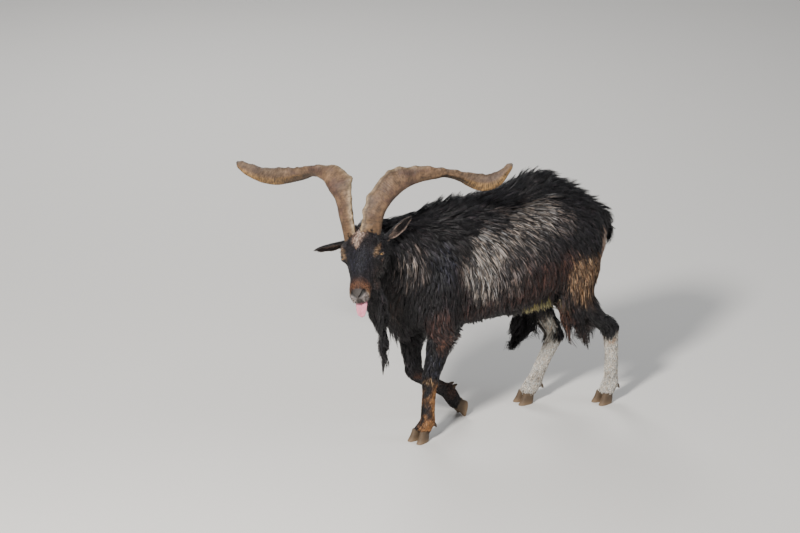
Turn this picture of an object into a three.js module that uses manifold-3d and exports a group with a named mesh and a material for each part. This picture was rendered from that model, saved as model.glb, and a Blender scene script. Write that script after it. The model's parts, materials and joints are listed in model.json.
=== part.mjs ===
// A long-haired billy goat with wide, twisted horns, life size, in mid-stride on a level floor.
// Millimetres, +Z up. It faces -X, its left side is towards -Y, and its head is turned to its left.
// The solids run out to the tips of the coat. Everything that is flesh is first one body, which
// then is parted by thin cuts where neck, head, beard, legs, tail and scrotum begin.
import * as THREE from 'three';
import { mergeVertices } from 'three/addons/utils/BufferGeometryUtils.js';
import Module from 'manifold-3d';

const wasm = await Module();
wasm.setup();

// ---- Driving dimensions ----

const GAP = 0.3; // left between neighbouring solids
const FINE = 0.1; // how far a surface may move where slivers are taken out of a finished part
const COARSE = 2.5; // the same, for the long-haired body before anything is fitted to it
const MIDDLING = 0.6; // the same, for the body with its head

const BACK_HEIGHT = 872; // floor to the hair on the withers
const CREST_HEIGHT = 914; // floor to the ruffled hair over the loins
const BELLY_HEIGHT = 402; // floor to the belly's hair, at the girth
const CHEST_HALF_WIDTH = 158;
const BARREL_HALF_WIDTH = 182;

const HEAD_PLACE = [-672, -108, 824]; // the back of the skull
const HEAD_YAW = -134.5; // degrees, from +X round to where the face points
const HEAD_ROLL = 13; // degrees by which the left eye is carried higher
const HEAD_PITCH = 25; // degrees by which the face points below level

const EYE_RADIUS = 14;
const EYE_PLACE = { forward: 100, side: 66, up: 20.5 };

const HORN_ROLL = 2; // degrees, as the horns lean less than the head does
const HORN_BASE = { forward: 15, side: 36, up: 60 };
const KNOB_RADIUS = 11;

const EAR_LENGTH = 128;
const EAR_ROOT = { forward: -2, side: 69, up: -1 };

const CLAW_HEIGHT = 36; // floor to the hair above the hoof
const CLAW_HALF_WIDTH = 15;
const CLEFT_HALF_WIDTH = 2.5; // of the space between the two claws of a foot

const COAT = {
  black: { color: 0x1b1817, roughness: 0.7, metalness: 0 },
  brown: { color: 0x3a281d, roughness: 0.75, metalness: 0 },
  tan: { color: 0x8a6138, roughness: 0.75, metalness: 0 },
  white: { color: 0xcfc5b3, roughness: 0.8, metalness: 0 },
};
const HORN = { color: 0x8f7a60, roughness: 0.65, metalness: 0 };
const HOOF = { color: 0x4a3d31, roughness: 0.5, metalness: 0 };
const EYE = { color: 0xb98a3c, roughness: 0.1, metalness: 0 };
const TONGUE = { color: 0xd79aa6, roughness: 0.4, metalness: 0 };

// ---- Directions ----

const SIDES = { left: 1, right: -1 }; // signs of y in the head's own frame
const FORWARD = new THREE.Vector3(-1, 0, 0);
const LEFT = new THREE.Vector3(0, -1, 0);
const RIGHT = new THREE.Vector3(0, 1, 0);
const UP = new THREE.Vector3(0, 0, 1);
const DOWN = new THREE.Vector3(0, 0, -1);

const radians = THREE.MathUtils.degToRad;
const vector = (v) => (v.isVector3 ? v.clone() : new THREE.Vector3(...v));
const between = (a, b, t) => vector(a).lerp(vector(b), t);
const moved = (x, y, z) => new THREE.Matrix4().makeTranslation(x, y, z);
const turned = (axis, degrees) => new THREE.Matrix4()[`makeRotation${axis}`](radians(degrees));

// The head has two frames. In both x points forward, y to the goat's left, and the origin is the
// back of the skull. The skull's frame follows the face, and the other one is held level.
const levelHead = moved(...HEAD_PLACE).multiply(turned('Z', HEAD_YAW)).multiply(turned('X', HEAD_ROLL));
const skull = levelHead.clone().multiply(turned('Y', HEAD_PITCH));
const inSkull = (x, y, z) => new THREE.Vector3(x, y, z).applyMatrix4(skull);
const fromHead = (forward, left, up) => (
  new THREE.Vector3(forward, left, up).transformDirection(levelHead)
    .multiplyScalar(Math.hypot(forward, left, up)));
const headLeft = fromHead(0, 1, 0);

// ---- Shapes ----

// A closed tube whose section changes from station to station. A station says where the middle of
// its section is (at), the half-width (wide), and the half-depth on the side that the path's
// direction crossed with `across` faces (fore) and on the other side (aft). `egg` widens the fore
// side, or narrows it if negative, and `keel` thins the section towards `across`. Sections stand
// square to the path, or square to `along` where that is given.
function loft(stations, { sides = 12, rings = 12, across = LEFT, along, square = 2, grow = 0 } = {}) {
  const line = (pick, kind) => new THREE.CatmullRomCurve3(stations.map(pick), false, kind);
  const spine = line((s) => vector(s.at), 'centripetal');
  const girth = line((s) => new THREE.Vector3(s.wide, s.fore ?? s.wide, s.aft ?? s.fore ?? s.wide),
    'centripetal');
  const bias = line((s) => new THREE.Vector3(s.egg ?? 0, s.keel ?? 0, 0));
  const turn = line((s) => vector(s.across ?? across));
  const shape = new THREE.CylinderGeometry(1, 1, 1, sides, rings);
  const place = shape.getAttribute('position');
  for (let i = 0; i < place.count; i++) {
    const x = place.getX(i);
    const z = place.getZ(i);
    const t = 0.5 - place.getY(i);
    const ahead = along ? along.clone() : spine.getTangent(THREE.MathUtils.clamp(t, 0.001, 0.999));
    const side = turn.getPoint(t);
    side.addScaledVector(ahead, -side.dot(ahead)).normalize();
    const up = new THREE.Vector3().crossVectors(ahead, side);
    const size = girth.getPoint(t).addScalar(grow);
    const lean = bias.getPoint(t);
    const round = (Math.abs(x) ** square + Math.abs(z) ** square) ** (-1 / square);
    const r = x || z ? round * Math.hypot(x, z) : 0;
    const past = { 0: -grow, 1: grow }[t] ?? 0; // the ends grow too
    const point = spine.getPoint(t).addScaledVector(ahead, past);
    point.addScaledVector(side, r * x * size.x * (1 + lean.x * z));
    point.addScaledVector(up, r * z * (z > 0 ? size.y : size.z) * (1 - lean.y * x));
    place.setXYZ(i, point.x, point.y, point.z);
  }
  return shape;
}

function ball(at, radii, { sides = 10, rings = 6 } = {}) {
  return new THREE.SphereGeometry(1, sides, rings).scale(...radii).translate(...at);
}

// ---- Solids ----

function solid(geometry, matrix) {
  const bare = new THREE.BufferGeometry();
  bare.setAttribute('position', geometry.getAttribute('position').clone());
  bare.setIndex(geometry.index.clone());
  if (matrix) bare.applyMatrix4(matrix);
  const merged = mergeVertices(bare, 1e-3);
  return new wasm.Manifold(new wasm.Mesh({
    numProp: 3,
    vertProperties: merged.getAttribute('position').array,
    triVerts: new Uint32Array(merged.index.array),
  }));
}

const smoothed = (made, tolerance) => made.setTolerance(tolerance).setTolerance(0.01);
const biggest = (made) => made.decompose().sort((a, b) => b.volume() - a.volume())[0];

const goat = new THREE.Group();
goat.name = 'goat';

function addGroup(name) {
  const group = new THREE.Group();
  group.name = name;
  goat.add(group);
  return group;
}

function addMesh(parent, name, made, look) {
  const { vertProperties, triVerts } = smoothed(made, FINE).getMesh();
  const geometry = new THREE.BufferGeometry();
  geometry.setAttribute('position', new THREE.BufferAttribute(vertProperties.slice(), 3));
  geometry.setIndex(new THREE.BufferAttribute(triVerts.slice(), 1));
  geometry.computeVertexNormals();
  const mesh = new THREE.Mesh(geometry, new THREE.MeshStandardMaterial(look));
  mesh.name = name;
  parent.add(mesh);
}

// ---- Trunk ----

// A section of the trunk at x, from its highest and its lowest point.
function trunkStation(x, top, bottom, wide) {
  const middle = bottom + (top - bottom) * 0.46;
  return { at: [x, 0, middle], wide, fore: top - middle, aft: middle - bottom, egg: -0.12 };
}

function trunk() {
  return loft([
    trunkStation(384, 696, 640, 14),
    trunkStation(368, 730, 584, 46),
    trunkStation(336, 762, 522, 84),
    trunkStation(280, 804, 476, 116),
    trunkStation(210, 852, 450, 138),
    trunkStation(150, CREST_HEIGHT - 22, BELLY_HEIGHT + 32, 154),
    trunkStation(90, CREST_HEIGHT, BELLY_HEIGHT + 22, 168),
    trunkStation(30, CREST_HEIGHT - 18, BELLY_HEIGHT + 12, 178),
    trunkStation(-40, BACK_HEIGHT + 10, BELLY_HEIGHT + 4, BARREL_HALF_WIDTH),
    trunkStation(-120, BACK_HEIGHT, BELLY_HEIGHT, BARREL_HALF_WIDTH - 2),
    trunkStation(-210, BACK_HEIGHT - 4, BELLY_HEIGHT - 2, CHEST_HALF_WIDTH + 10),
    trunkStation(-300, BACK_HEIGHT - 6, BELLY_HEIGHT - 6, CHEST_HALF_WIDTH),
    trunkStation(-390, BACK_HEIGHT - 14, BELLY_HEIGHT - 4, CHEST_HALF_WIDTH - 14),
    trunkStation(-460, BACK_HEIGHT - 78, BELLY_HEIGHT, 116),
    trunkStation(-510, BACK_HEIGHT - 146, BELLY_HEIGHT + 16, 86),
    trunkStation(-545, BACK_HEIGHT - 216, BELLY_HEIGHT + 56, 54),
    trunkStation(-564, BACK_HEIGHT - 276, BELLY_HEIGHT + 112, 18),
  ], { sides: 18, rings: 21, along: FORWARD });
}

// The tuft of the sheath, under the belly.
function sheath() {
  return loft([
    { at: [130, 0, 452], wide: 34, fore: 26, aft: 22 },
    { at: [92, 0, 432], wide: 34, fore: 26, aft: 26 },
    { at: [52, 0, 404], wide: 20, fore: 18, aft: 20 },
    { at: [36, 0, 382], wide: 5, fore: 5, aft: 5 },
  ], { sides: 10, rings: 6 });
}

function scrotum() {
  return loft([
    { at: [280, 0, 560], wide: 30, fore: 36, aft: 34 },
    { at: [290, 0, 470], wide: 34, fore: 36, aft: 34 },
    { at: [298, 0, 410], wide: 37, fore: 38, aft: 36 },
    { at: [302, 0, 372], wide: 34, fore: 30, aft: 30 },
    { at: [303, 0, 350], wide: 12, fore: 10, aft: 10 },
  ], { sides: 10, rings: 8 });
}

// The short tail, with its tuft hanging over behind.
function tail() {
  return loft([
    { at: [326, 0, 706], wide: 30, fore: 30, aft: 40 },
    { at: [356, 0, 706], wide: 33, fore: 28, aft: 36 },
    { at: [384, 0, 692], wide: 31, fore: 24, aft: 26 },
    { at: [399, 0, 664], wide: 26, fore: 10, aft: 18 },
    { at: [405, 0, 636], wide: 18, fore: 8, aft: 12 },
    { at: [406, 0, 612], wide: 8, fore: 5, aft: 6 },
    { at: [405, 0, 600], wide: 3, fore: 2, aft: 3 },
  ], { sides: 10, rings: 9 });
}

// ---- Neck ----

function neck() {
  return loft([
    { at: [-330, 0, 690], wide: 124, fore: 150, aft: 190, egg: -0.2 },
    { at: [-430, -8, 690], wide: 122, fore: 164, aft: 210, egg: -0.2 },
    { at: [-510, -26, 704], wide: 108, fore: 160, aft: 194, egg: -0.15 },
    { at: [-592, -56, 745], wide: 90, fore: 144, aft: 140 },
    { at: inSkull(-4, 0, -14), wide: 66, fore: 90, aft: 84, across: headLeft },
  ], { sides: 16, rings: 10 });
}

// ---- Head, in the skull's frame ----

function headStation(x, z, wide, up, down, fullness = 0) {
  return { at: [x, 0, z], wide, fore: down, aft: up, egg: -fullness };
}

function head() {
  return loft([
    headStation(-38, -8, 50, 46, 56),
    headStation(2, -4, 66, 62, 74, 0.05),
    headStation(50, 0, 71, 68, 80, 0.08),
    headStation(98, 0, 72, 66, 76, 0.12),
    headStation(130, -2, 58, 58, 68, 0.08),
    headStation(168, -6, 45, 48, 56, 0.04),
    headStation(205, -10, 38, 40, 46),
    headStation(238, -14, 38, 34, 40),
    headStation(264, -18, 36, 28, 33),
    headStation(278, -21, 30, 20, 24),
    headStation(286, -23, 18, 12, 14),
    headStation(291, -24, 8, 5, 6),
  ], { sides: 16, rings: 15, across: RIGHT, square: 2.3 });
}

// The lower jaw's end, from which the lower lip hangs a little open.
function chin() {
  return loft([
    headStation(196, -30, 24, 20, 22),
    headStation(226, -38, 26, 18, 20),
    headStation(252, -46, 25, 13, 16),
    headStation(266, -50, 19, 9, 11),
    headStation(272, -51, 9, 5, 5),
  ], { sides: 10, rings: 6, across: RIGHT });
}

// What the lips leave open, from one corner of the mouth round the front to the other.
function mouthGap() {
  return new THREE.BoxGeometry(74, 90, 3).translate(37, 0, 0).applyMatrix4(turned('Y', 8))
    .translate(224, 0, -39);
}

function nostril(side) {
  return ball([0, 0, 0], [13, 4.5, 6], { sides: 8 }).rotateZ(radians(side * 28)).rotateY(radians(30))
    .translate(279, side * 19, -10);
}

// The lids and the rim of the eye's socket, which the eye looks out of.
function socket(side) {
  const { forward, side: out, up } = EYE_PLACE;
  return ball([forward - 1, side * (out - 4), up + 1], [27, 13, 22]);
}

function brow(side) {
  const { forward, side: out, up } = EYE_PLACE;
  return ball([forward - 10, side * (out - 14), up + 20], [32, 20, 15]);
}

function eye(side, grow = 0) {
  const { forward, side: out, up } = EYE_PLACE;
  const radius = EYE_RADIUS + grow;
  return solid(ball([forward, side * out, up], [radius, radius, radius], { sides: 12, rings: 8 }), skull);
}

// The tongue comes out over the lower lip and hangs down.
function tongue(grow = 0) {
  const lips = inSkull(262, 2, -42);
  const out = (down, forward) => fromHead(forward, 0, 0).add(lips).setZ(lips.z - down);
  return solid(loft([
    { at: out(-18, -26), wide: 16, fore: 5 },
    { at: out(-4, -4), wide: 19, fore: 5 },
    { at: out(12, 8), wide: 21, fore: 5.5 },
    { at: out(36, 12), wide: 20, fore: 5.5 },
    { at: out(55, 10), wide: 14, fore: 4.5 },
    { at: out(62, 8), wide: 4, fore: 2 },
  ], { sides: 10, rings: 9, across: headLeft, grow }));
}

// The beard hangs from the whole lower jaw and swings back towards the chest.
function beard() {
  const jaw = inSkull(185, 4, -44);
  const hung = (down, back, left) => fromHead(-back, left, 0).setZ(-down).add(jaw);
  return loft([
    { at: hung(-34, -10, 0), wide: 28, fore: 30, aft: 40 },
    { at: hung(0, 0, 8), wide: 40, fore: 40, aft: 60 },
    { at: hung(55, 20, 28), wide: 46, fore: 38, aft: 64 },
    { at: hung(115, 36, 38), wide: 42, fore: 31, aft: 52 },
    { at: hung(180, 50, 44), wide: 34, fore: 23, aft: 34 },
    { at: hung(250, 62, 46), wide: 20, fore: 12, aft: 18 },
    { at: hung(305, 70, 46), wide: 4, fore: 3, aft: 4 },
  ], { sides: 10, rings: 9, across: headLeft });
}

// ---- Horns ----

// Each horn from its base to its tip: how far out, forward and up from the base it lies, the way its
// keel points there (out, forward, up), its half-breadth towards the keel and its half-thickness.
const HORNS = {
  left: [
    [[-10, 7, -37], [-0.77, 0.59, 0.23], 38, 20],
    [[-4, 0, 2], [-0.79, 0.56, 0.24], 38, 20],
    [[2, -13, 51], [-0.81, 0.46, 0.36], 38, 21],
    [[15, -35, 89], [-0.78, 0.28, 0.57], 39, 23],
    [[35, -65, 122], [-0.72, 0.12, 0.68], 41.5, 26],
    [[62, -98, 149], [-0.56, -0.06, 0.83], 43, 27],
    [[100, -128, 161], [-0.18, 0.04, 0.98], 37, 24],
    [[141, -154, 165], [0.13, 0.26, 0.96], 32, 18],
    [[190, -180, 163], [0.37, 0.52, 0.77], 30, 15],
    [[239, -203, 152], [0.45, 0.59, 0.67], 29, 14],
    [[278, -219, 137], [0.47, 0.4, 0.79], 29, 14],
    [[312, -231, 123], [0.35, 0.06, 0.93], 30, 14],
    [[352, -246, 112], [-0.06, -0.26, 0.96], 30, 14],
    [[391, -265, 118], [-0.54, -0.33, 0.78], 25, 12],
    [[419, -282, 144], [-0.73, -0.14, 0.67], 17.5, 10],
    [[438, -292, 164], [-0.75, -0.04, 0.67], 11, 8],
    [[445, -297, 171], [-0.78, -0.02, 0.63], 4, 4],
  ],
  right: [
    [[6, 4, -32], [-0.7, 0.69, 0.19], 33, 18],
    [[13, 1, 8], [-0.68, 0.68, 0.27], 34, 18],
    [[26, -15, 66], [-0.71, 0.59, 0.38], 36, 21],
    [[39, -37, 114], [-0.74, 0.41, 0.54], 37, 22],
    [[60, -66, 152], [-0.81, -0.12, 0.57], 44, 26],
    [[88, -90, 173], [-0.53, -0.3, 0.79], 42, 26],
    [[128, -108, 182], [-0.04, 0.07, 1], 27, 20],
    [[170, -127, 179], [0.39, 0.51, 0.76], 26, 15],
    [[210, -141, 162], [0.4, 0.28, 0.88], 29, 15],
    [[272, -161, 143], [0.2, -0.12, 0.97], 31, 15],
    [[334, -181, 131], [-0.04, -0.45, 0.89], 30, 14],
    [[388, -200, 130], [-0.26, -0.56, 0.79], 27, 13],
    [[445, -218, 141], [-0.38, -0.54, 0.75], 20.5, 12],
    [[477, -227, 155], [-0.49, -0.41, 0.77], 13.5, 9],
    [[489, -230, 163], [-0.56, -0.42, 0.72], 4, 4],
  ],
};

// The places of each line at which the keel carries a knob.
const HORN_KNOBS = { left: [3, 5], right: [4] };

function horn(name, grow = 0) {
  const side = SIDES[name];
  const base = inSkull(HORN_BASE.forward, side * HORN_BASE.side, HORN_BASE.up);
  const set = turned('Z', HEAD_YAW).multiply(turned('X', HORN_ROLL));
  const stations = HORNS[name].map(([[out, forward, up], [keelOut, keelForward, keelUp], wide, fore]) => {
    const across = new THREE.Vector3(keelForward, side * keelOut, keelUp).applyMatrix4(set);
    const at = new THREE.Vector3(forward, side * out, up).applyMatrix4(set).add(base);
    return { at, across, wide, fore, keel: 0.3 };
  });
  let made = solid(loft(stations, { sides: 10, rings: 28, grow }));
  for (const i of HORN_KNOBS[name]) {
    const { at, across, wide } = stations[i];
    const keel = at.clone().addScaledVector(across.clone().normalize(), wide * 0.8);
    const radius = KNOB_RADIUS + grow;
    made = made.add(solid(ball(keel.toArray(), [radius, radius, radius], { sides: 8 })));
  }
  return made;
}

// ---- Ears ----

// The way each ear points and the way its opening faces: out, forward, up.
const EAR_POSES = {
  left: { along: [0.53, -0.81, 0.22], open: [0.82, 0.42, -0.39] },
  right: { along: [0.93, 0.36, 0.02], open: [-0.21, 0.58, -0.79] },
};

// How far along the ear, its half-breadth and its half-depth.
const EAR_LEAF = [[-0.12, 12, 11], [0.1, 15, 11], [0.3, 21, 11], [0.5, 24, 10], [0.7, 22, 8],
  [0.88, 14, 6], [1, 3, 2]];
const EAR_RIM = 5; // breadth of the edge round the ear's hollow
const EAR_WALL = 2;
const EAR_LIFT = 9; // how far the hollow lies towards the opening

function earLeaf(name, leaf, { lift = 0, grow = 0 } = {}) {
  const side = SIDES[name];
  const [along, open] = [EAR_POSES[name].along, EAR_POSES[name].open]
    .map(([out, forward, up]) => fromHead(forward, side * out, up).normalize());
  const root = inSkull(EAR_ROOT.forward, side * EAR_ROOT.side, EAR_ROOT.up).addScaledVector(open, lift);
  const stations = leaf.map(([share, wide, fore]) => (
    { at: root.clone().addScaledVector(along, share * EAR_LENGTH), wide, fore }));
  return solid(loft(stations, { sides: 8, rings: 6, across: along.clone().cross(open), grow }));
}

function ear(name) {
  const hollow = EAR_LEAF.slice(1).map(([share, wide, fore]) => (
    [share - 0.02, Math.max(wide - EAR_RIM, 1.5), Math.max(fore - EAR_WALL, 1.5)]));
  return earLeaf(name, EAR_LEAF).subtract(earLeaf(name, hollow, { lift: EAR_LIFT }));
}

// ---- Legs ----

// The places of a foreleg's joints. `heading` is where the toes point, `tip` how far the foot is
// tipped onto them, and `spread` how far each claw is turned outwards, all in degrees.
const FORELEGS = {
  left: {
    shoulder: [-352, -96, 580], elbow: [-354, -92, 452], arm: [-372, -86, 340], knee: [-400, -78, 226],
    shank: [-406, -76, 140], fetlock: [-410, -76, 66], coronet: [-438, -78, CLAW_HEIGHT],
    heading: 196, tip: 0, spread: 8,
  },
  right: {
    shoulder: [-356, 96, 570], elbow: [-366, 90, 436], arm: [-386, 84, 320], knee: [-378, 76, 204],
    shank: [-304, 73, 144], fetlock: [-236, 74, 100], coronet: [-203, 74, 48],
    heading: 180, tip: 75, spread: 6,
  },
};

function foreleg({ shoulder, elbow, arm, knee, shank, fetlock, coronet }) {
  const outward = Math.sign(shoulder[1]);
  return loft([
    { at: [-322, outward * 56, 776], wide: 34, fore: 40, aft: 46 },
    { at: [-336, outward * 88, 690], wide: 61, fore: 74, aft: 72 },
    { at: shoulder, wide: 66, fore: 92, aft: 80 },
    { at: elbow, wide: 54, fore: 68, aft: 66 },
    { at: arm, wide: 39, fore: 46, aft: 44 },
    { at: between(arm, knee, 0.6), wide: 31, fore: 34, aft: 36 },
    { at: knee, wide: 29, fore: 31, aft: 29 },
    { at: between(knee, shank, 0.5), wide: 25, fore: 25, aft: 27 },
    { at: shank, wide: 23, fore: 23, aft: 27 },
    { at: between(shank, fetlock, 0.7), wide: 24, fore: 24, aft: 28 },
    { at: fetlock, wide: 28, fore: 27, aft: 31 },
    { at: coronet, wide: 32, fore: 24, aft: 26 },
  ], { sides: 10, rings: 17 });
}

const HINDLEGS = {
  left: {
    hip: [212, -74, 704], thigh: [215, -92, 590], stifle: [200, -104, 480], gaskin: [256, -98, 385],
    hock: [360, -88, 292], shank: [372, -84, 180], fetlock: [368, -82, 72],
    coronet: [344, -84, CLAW_HEIGHT], heading: 186, tip: 0, spread: 7,
  },
  right: {
    hip: [206, 74, 704], thigh: [180, 90, 590], stifle: [140, 100, 475], gaskin: [170, 88, 360],
    hock: [222, 70, 240], shank: [168, 64, 150], fetlock: [124, 60, 74],
    coronet: [92, 60, CLAW_HEIGHT], heading: 178, tip: 0, spread: 6,
  },
};

function hindleg({ hip, thigh, stifle, gaskin, hock, shank, fetlock, coronet }) {
  return loft([
    { at: [hip[0] + 6, hip[1] * 0.5, hip[2] + 70], wide: 28, fore: 60, aft: 40 },
    { at: hip, wide: 54, fore: 92, aft: 92 },
    { at: thigh, wide: 62, fore: 104, aft: 104 },
    { at: stifle, wide: 56, fore: 82, aft: 80 },
    { at: gaskin, wide: 42, fore: 56, aft: 42 },
    { at: between(gaskin, hock, 0.62), wide: 32, fore: 36, aft: 32 },
    { at: hock, wide: 29, fore: 31, aft: 36 },
    { at: between(hock, shank, 0.45), wide: 26, fore: 26, aft: 29 },
    { at: shank, wide: 24, fore: 24, aft: 27 },
    { at: between(shank, fetlock, 0.7), wide: 25, fore: 25, aft: 29 },
    { at: fetlock, wide: 29, fore: 28, aft: 32 },
    { at: coronet, wide: 32, fore: 25, aft: 27 },
  ], { sides: 10, rings: 18 });
}

// The long hair that hangs from the front of each thigh: place, half-width, and how far it
// reaches forwards and backwards.
const SKIRTS = {
  left: [[[185, -112, 460], 26, 74, 60], [[183, -122, 390], 22, 72, 70], [[192, -126, 325], 14, 50, 52],
    [[204, -126, 268], 4, 14, 20]],
  right: [[[140, 98, 440], 26, 70, 50], [[128, 104, 360], 22, 66, 64], [[108, 106, 300], 15, 55, 58],
    [[84, 106, 248], 8, 34, 40], [[66, 106, 214], 3, 10, 12]],
};

function skirt(name) {
  const stations = SKIRTS[name].map(([at, wide, fore, aft]) => ({ at, wide, fore, aft }));
  return loft(stations, { sides: 10, rings: 7 });
}

// A claw of a foot, in a frame whose x points to the toes and whose origin is on the sole.
function claw(leg, side, grow = 0) {
  const y = side * (CLAW_HALF_WIDTH + CLEFT_HALF_WIDTH);
  const set = moved(...leg.coronet).multiply(turned('Z', leg.heading)).multiply(turned('Y', leg.tip))
    .multiply(moved(-4, 0, -CLAW_HEIGHT)).multiply(turned('Z', side * leg.spread));
  return solid(loft([
    { at: [4, y, CLAW_HEIGHT + 6], wide: CLAW_HALF_WIDTH - 4, fore: 20, aft: 22 },
    { at: [9, y, CLAW_HEIGHT * 0.6], wide: CLAW_HALF_WIDTH - 2, fore: 24, aft: 25 },
    { at: [17, y, -0.5], wide: CLAW_HALF_WIDTH, fore: 28, aft: 32 },
  ], { sides: 8, rings: 2, along: DOWN, square: 2.6, grow }), set);
}

function dewclaw(leg, side) {
  const set = moved(...leg.fetlock).multiply(turned('Z', leg.heading)).multiply(turned('Y', leg.tip));
  return solid(loft([
    { at: [-14, side * 12, -2], wide: 8, fore: 7 },
    { at: [-27, side * 13, -13], wide: 8, fore: 7 },
    { at: [-33, side * 13, -24], wide: 4, fore: 3 },
  ], { sides: 6, rings: 2 }), set);
}

const legs = Object.entries({ fore: FORELEGS, hind: HINDLEGS }).flatMap(([end, pair]) => (
  Object.entries(pair).map(([name, leg]) => ({ end, name, leg }))));

// ---- The body, whole ----

let flesh = solid(trunk());
for (const piece of [neck(), sheath(), scrotum(), tail(), beard(), skirt('left'), skirt('right')]) {
  flesh = flesh.add(solid(piece));
}
for (const { end, leg } of legs) {
  flesh = flesh.add(solid(end === 'fore' ? foreleg(leg) : hindleg(leg)))
    .add(dewclaw(leg, 1)).add(dewclaw(leg, -1));
}
flesh = smoothed(flesh, COARSE);
for (const piece of [head(), chin(), brow(1), brow(-1), socket(1), socket(-1)]) {
  flesh = flesh.add(solid(piece, skull));
}
for (const hole of [mouthGap(), nostril(1), nostril(-1)]) {
  flesh = flesh.subtract(solid(hole, skull));
}
flesh = smoothed(flesh, MIDDLING);

// ---- What grows out of it ----

const headParts = addGroup('head_and_neck');
for (const [name, side] of Object.entries(SIDES)) {
  addMesh(headParts, `horn_${name}`, horn(name), HORN);
  addMesh(headParts, `eye_${name}`, eye(side), EYE);
  addMesh(headParts, `ear_${name}`, biggest(ear(name).subtract(horn(name, GAP))), COAT.black);
  for (const room of [horn(name, GAP), eye(side, GAP), earLeaf(name, EAR_LEAF, { grow: GAP })]) {
    flesh = flesh.subtract(room);
  }
}
addMesh(headParts, 'tongue', tongue(), TONGUE);
flesh = flesh.subtract(tongue(GAP));

const feet = addGroup('feet');
const floor = solid(new THREE.BoxGeometry(3000, 3000, 400).translate(0, 0, -200));
for (const { end, name, leg } of legs) {
  for (const [which, side] of [['inner', -SIDES[name]], ['outer', SIDES[name]]]) {
    addMesh(feet, `claw_${end}_${name}_${which}`, claw(leg, side).subtract(floor), HOOF);
    flesh = flesh.subtract(claw(leg, side, GAP));
  }
}
flesh = biggest(flesh);

// ---- The cuts that part it ----

// A cut is a thin slab: its middle, the way it faces, and its lengths.
function cut(at, facing, lengths) {
  const spin = new THREE.Quaternion().setFromUnitVectors(UP, vector(facing).normalize());
  return solid(new THREE.BoxGeometry(...lengths, GAP),
    new THREE.Matrix4().compose(vector(at), spin, new THREE.Vector3(1, 1, 1)));
}

const straight = (a, b) => vector(b).sub(vector(a)).normalize();
const bend = (a, b, c) => straight(a, b).add(straight(b, c));

const nape = new THREE.BoxGeometry(GAP, 320, 460).applyMatrix4(turned('Y', -30)).translate(-12, 0, -20);
const jawLine = new THREE.BoxGeometry(190, 150, GAP).applyMatrix4(turned('Y', -6))
  .translate(190, 0, -75);
const cuts = [
  cut([-455, 0, 640], [-0.94, 0, 0.34], [800, 520]),
  solid(nape, skull),
  solid(jawLine, skull),
  cut([366, 0, 705], [0.92, 0, 0.39], [250, 150]),
  cut([292, 0, 462], UP, [120, 84]),
];
for (const { end, leg } of legs) {
  const outward = Math.sign(leg.fetlock[1]);
  const [above, middle] = end === 'fore' ? [leg.arm, leg.knee] : [leg.gaskin, leg.hock];
  cuts.push(
    end === 'fore' ? cut([-372, outward * 88, 388], UP, [190, 144])
      : cut([190, outward * 108, 424], UP, [280, 128]),
    cut(middle, bend(above, middle, leg.shank), [116, 104]),
  );
}
for (const slab of cuts) flesh = flesh.subtract(slab);

// ---- The parts ----

// What each leg's parts are called, from the top, and what colours their coats are.
const LEG_NAMES = { fore: ['forearm', 'fore_shank'], hind: ['gaskin', 'hind_shank'] };
const LEG_COATS = {
  fore: { left: [COAT.black, COAT.tan], right: [COAT.black, COAT.brown] },
  hind: { left: [COAT.brown, COAT.white], right: [COAT.black, COAT.white] },
};

// Each part: a point inside it, its name, the coat's colour and its group.
const parts = [
  [[0, 0, 640], 'trunk', COAT.black, goat],
  [[-530, -30, 700], 'neck', COAT.black, headParts],
  [inSkull(60, 0, 0), 'head', COAT.black, headParts],
  [inSkull(185, 4, -110), 'beard', COAT.black, headParts],
  [[392, 0, 686], 'tail', COAT.black, goat],
  [[298, 0, 410], 'scrotum', COAT.black, goat],
];
for (const { end, name, leg } of legs) {
  const group = addGroup(`${end}leg_${name}`);
  const inside = [
    end === 'fore' ? between(leg.arm, leg.knee, 0.4) : between(leg.gaskin, leg.hock, 0.3),
    leg.shank,
  ];
  inside.forEach((at, i) => parts.push(
    [at, `${LEG_NAMES[end][i]}_${name}`, LEG_COATS[end][name][i], group]));
}

const pieces = flesh.decompose();
for (const [inside, name, look, parent] of parts) {
  const probe = solid(ball(vector(inside).toArray(), [2, 2, 2]));
  addMesh(parent, name, pieces.find((piece) => !piece.intersect(probe).isEmpty()), look);
}

// ---- The origin is on the floor, under the middle of the bounding box ----

const box = new THREE.Box3().setFromObject(goat);
const centre = box.getCenter(new THREE.Vector3());
goat.traverse((node) => node.geometry?.translate(-centre.x, -centre.y, -box.min.z));

export default goat;
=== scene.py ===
# %% [markdown]
# # A long-haired billy goat with wide horns, standing still in mid-stride
# The solids of the animal come from the model that was drawn before: trunk, neck, head, legs,
# horns, ears, eyes, tongue and hooves. They run out to the tips of the hair, so they say where the
# coat ends. In this script one soft skin takes the place of everything that is flesh, and the
# coat grows on it as tens of thousands of small closed locks. Horns, eyes, tongue and hooves stay
# pieces of their own, as they are on the animal.

# %% Load the solids, and keep their box
import json
import math

import bmesh
import bpy
import numpy as np
from mathutils import Matrix, Vector
from mathutils.bvhtree import BVHTree
from mathutils.kdtree import KDTree

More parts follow.
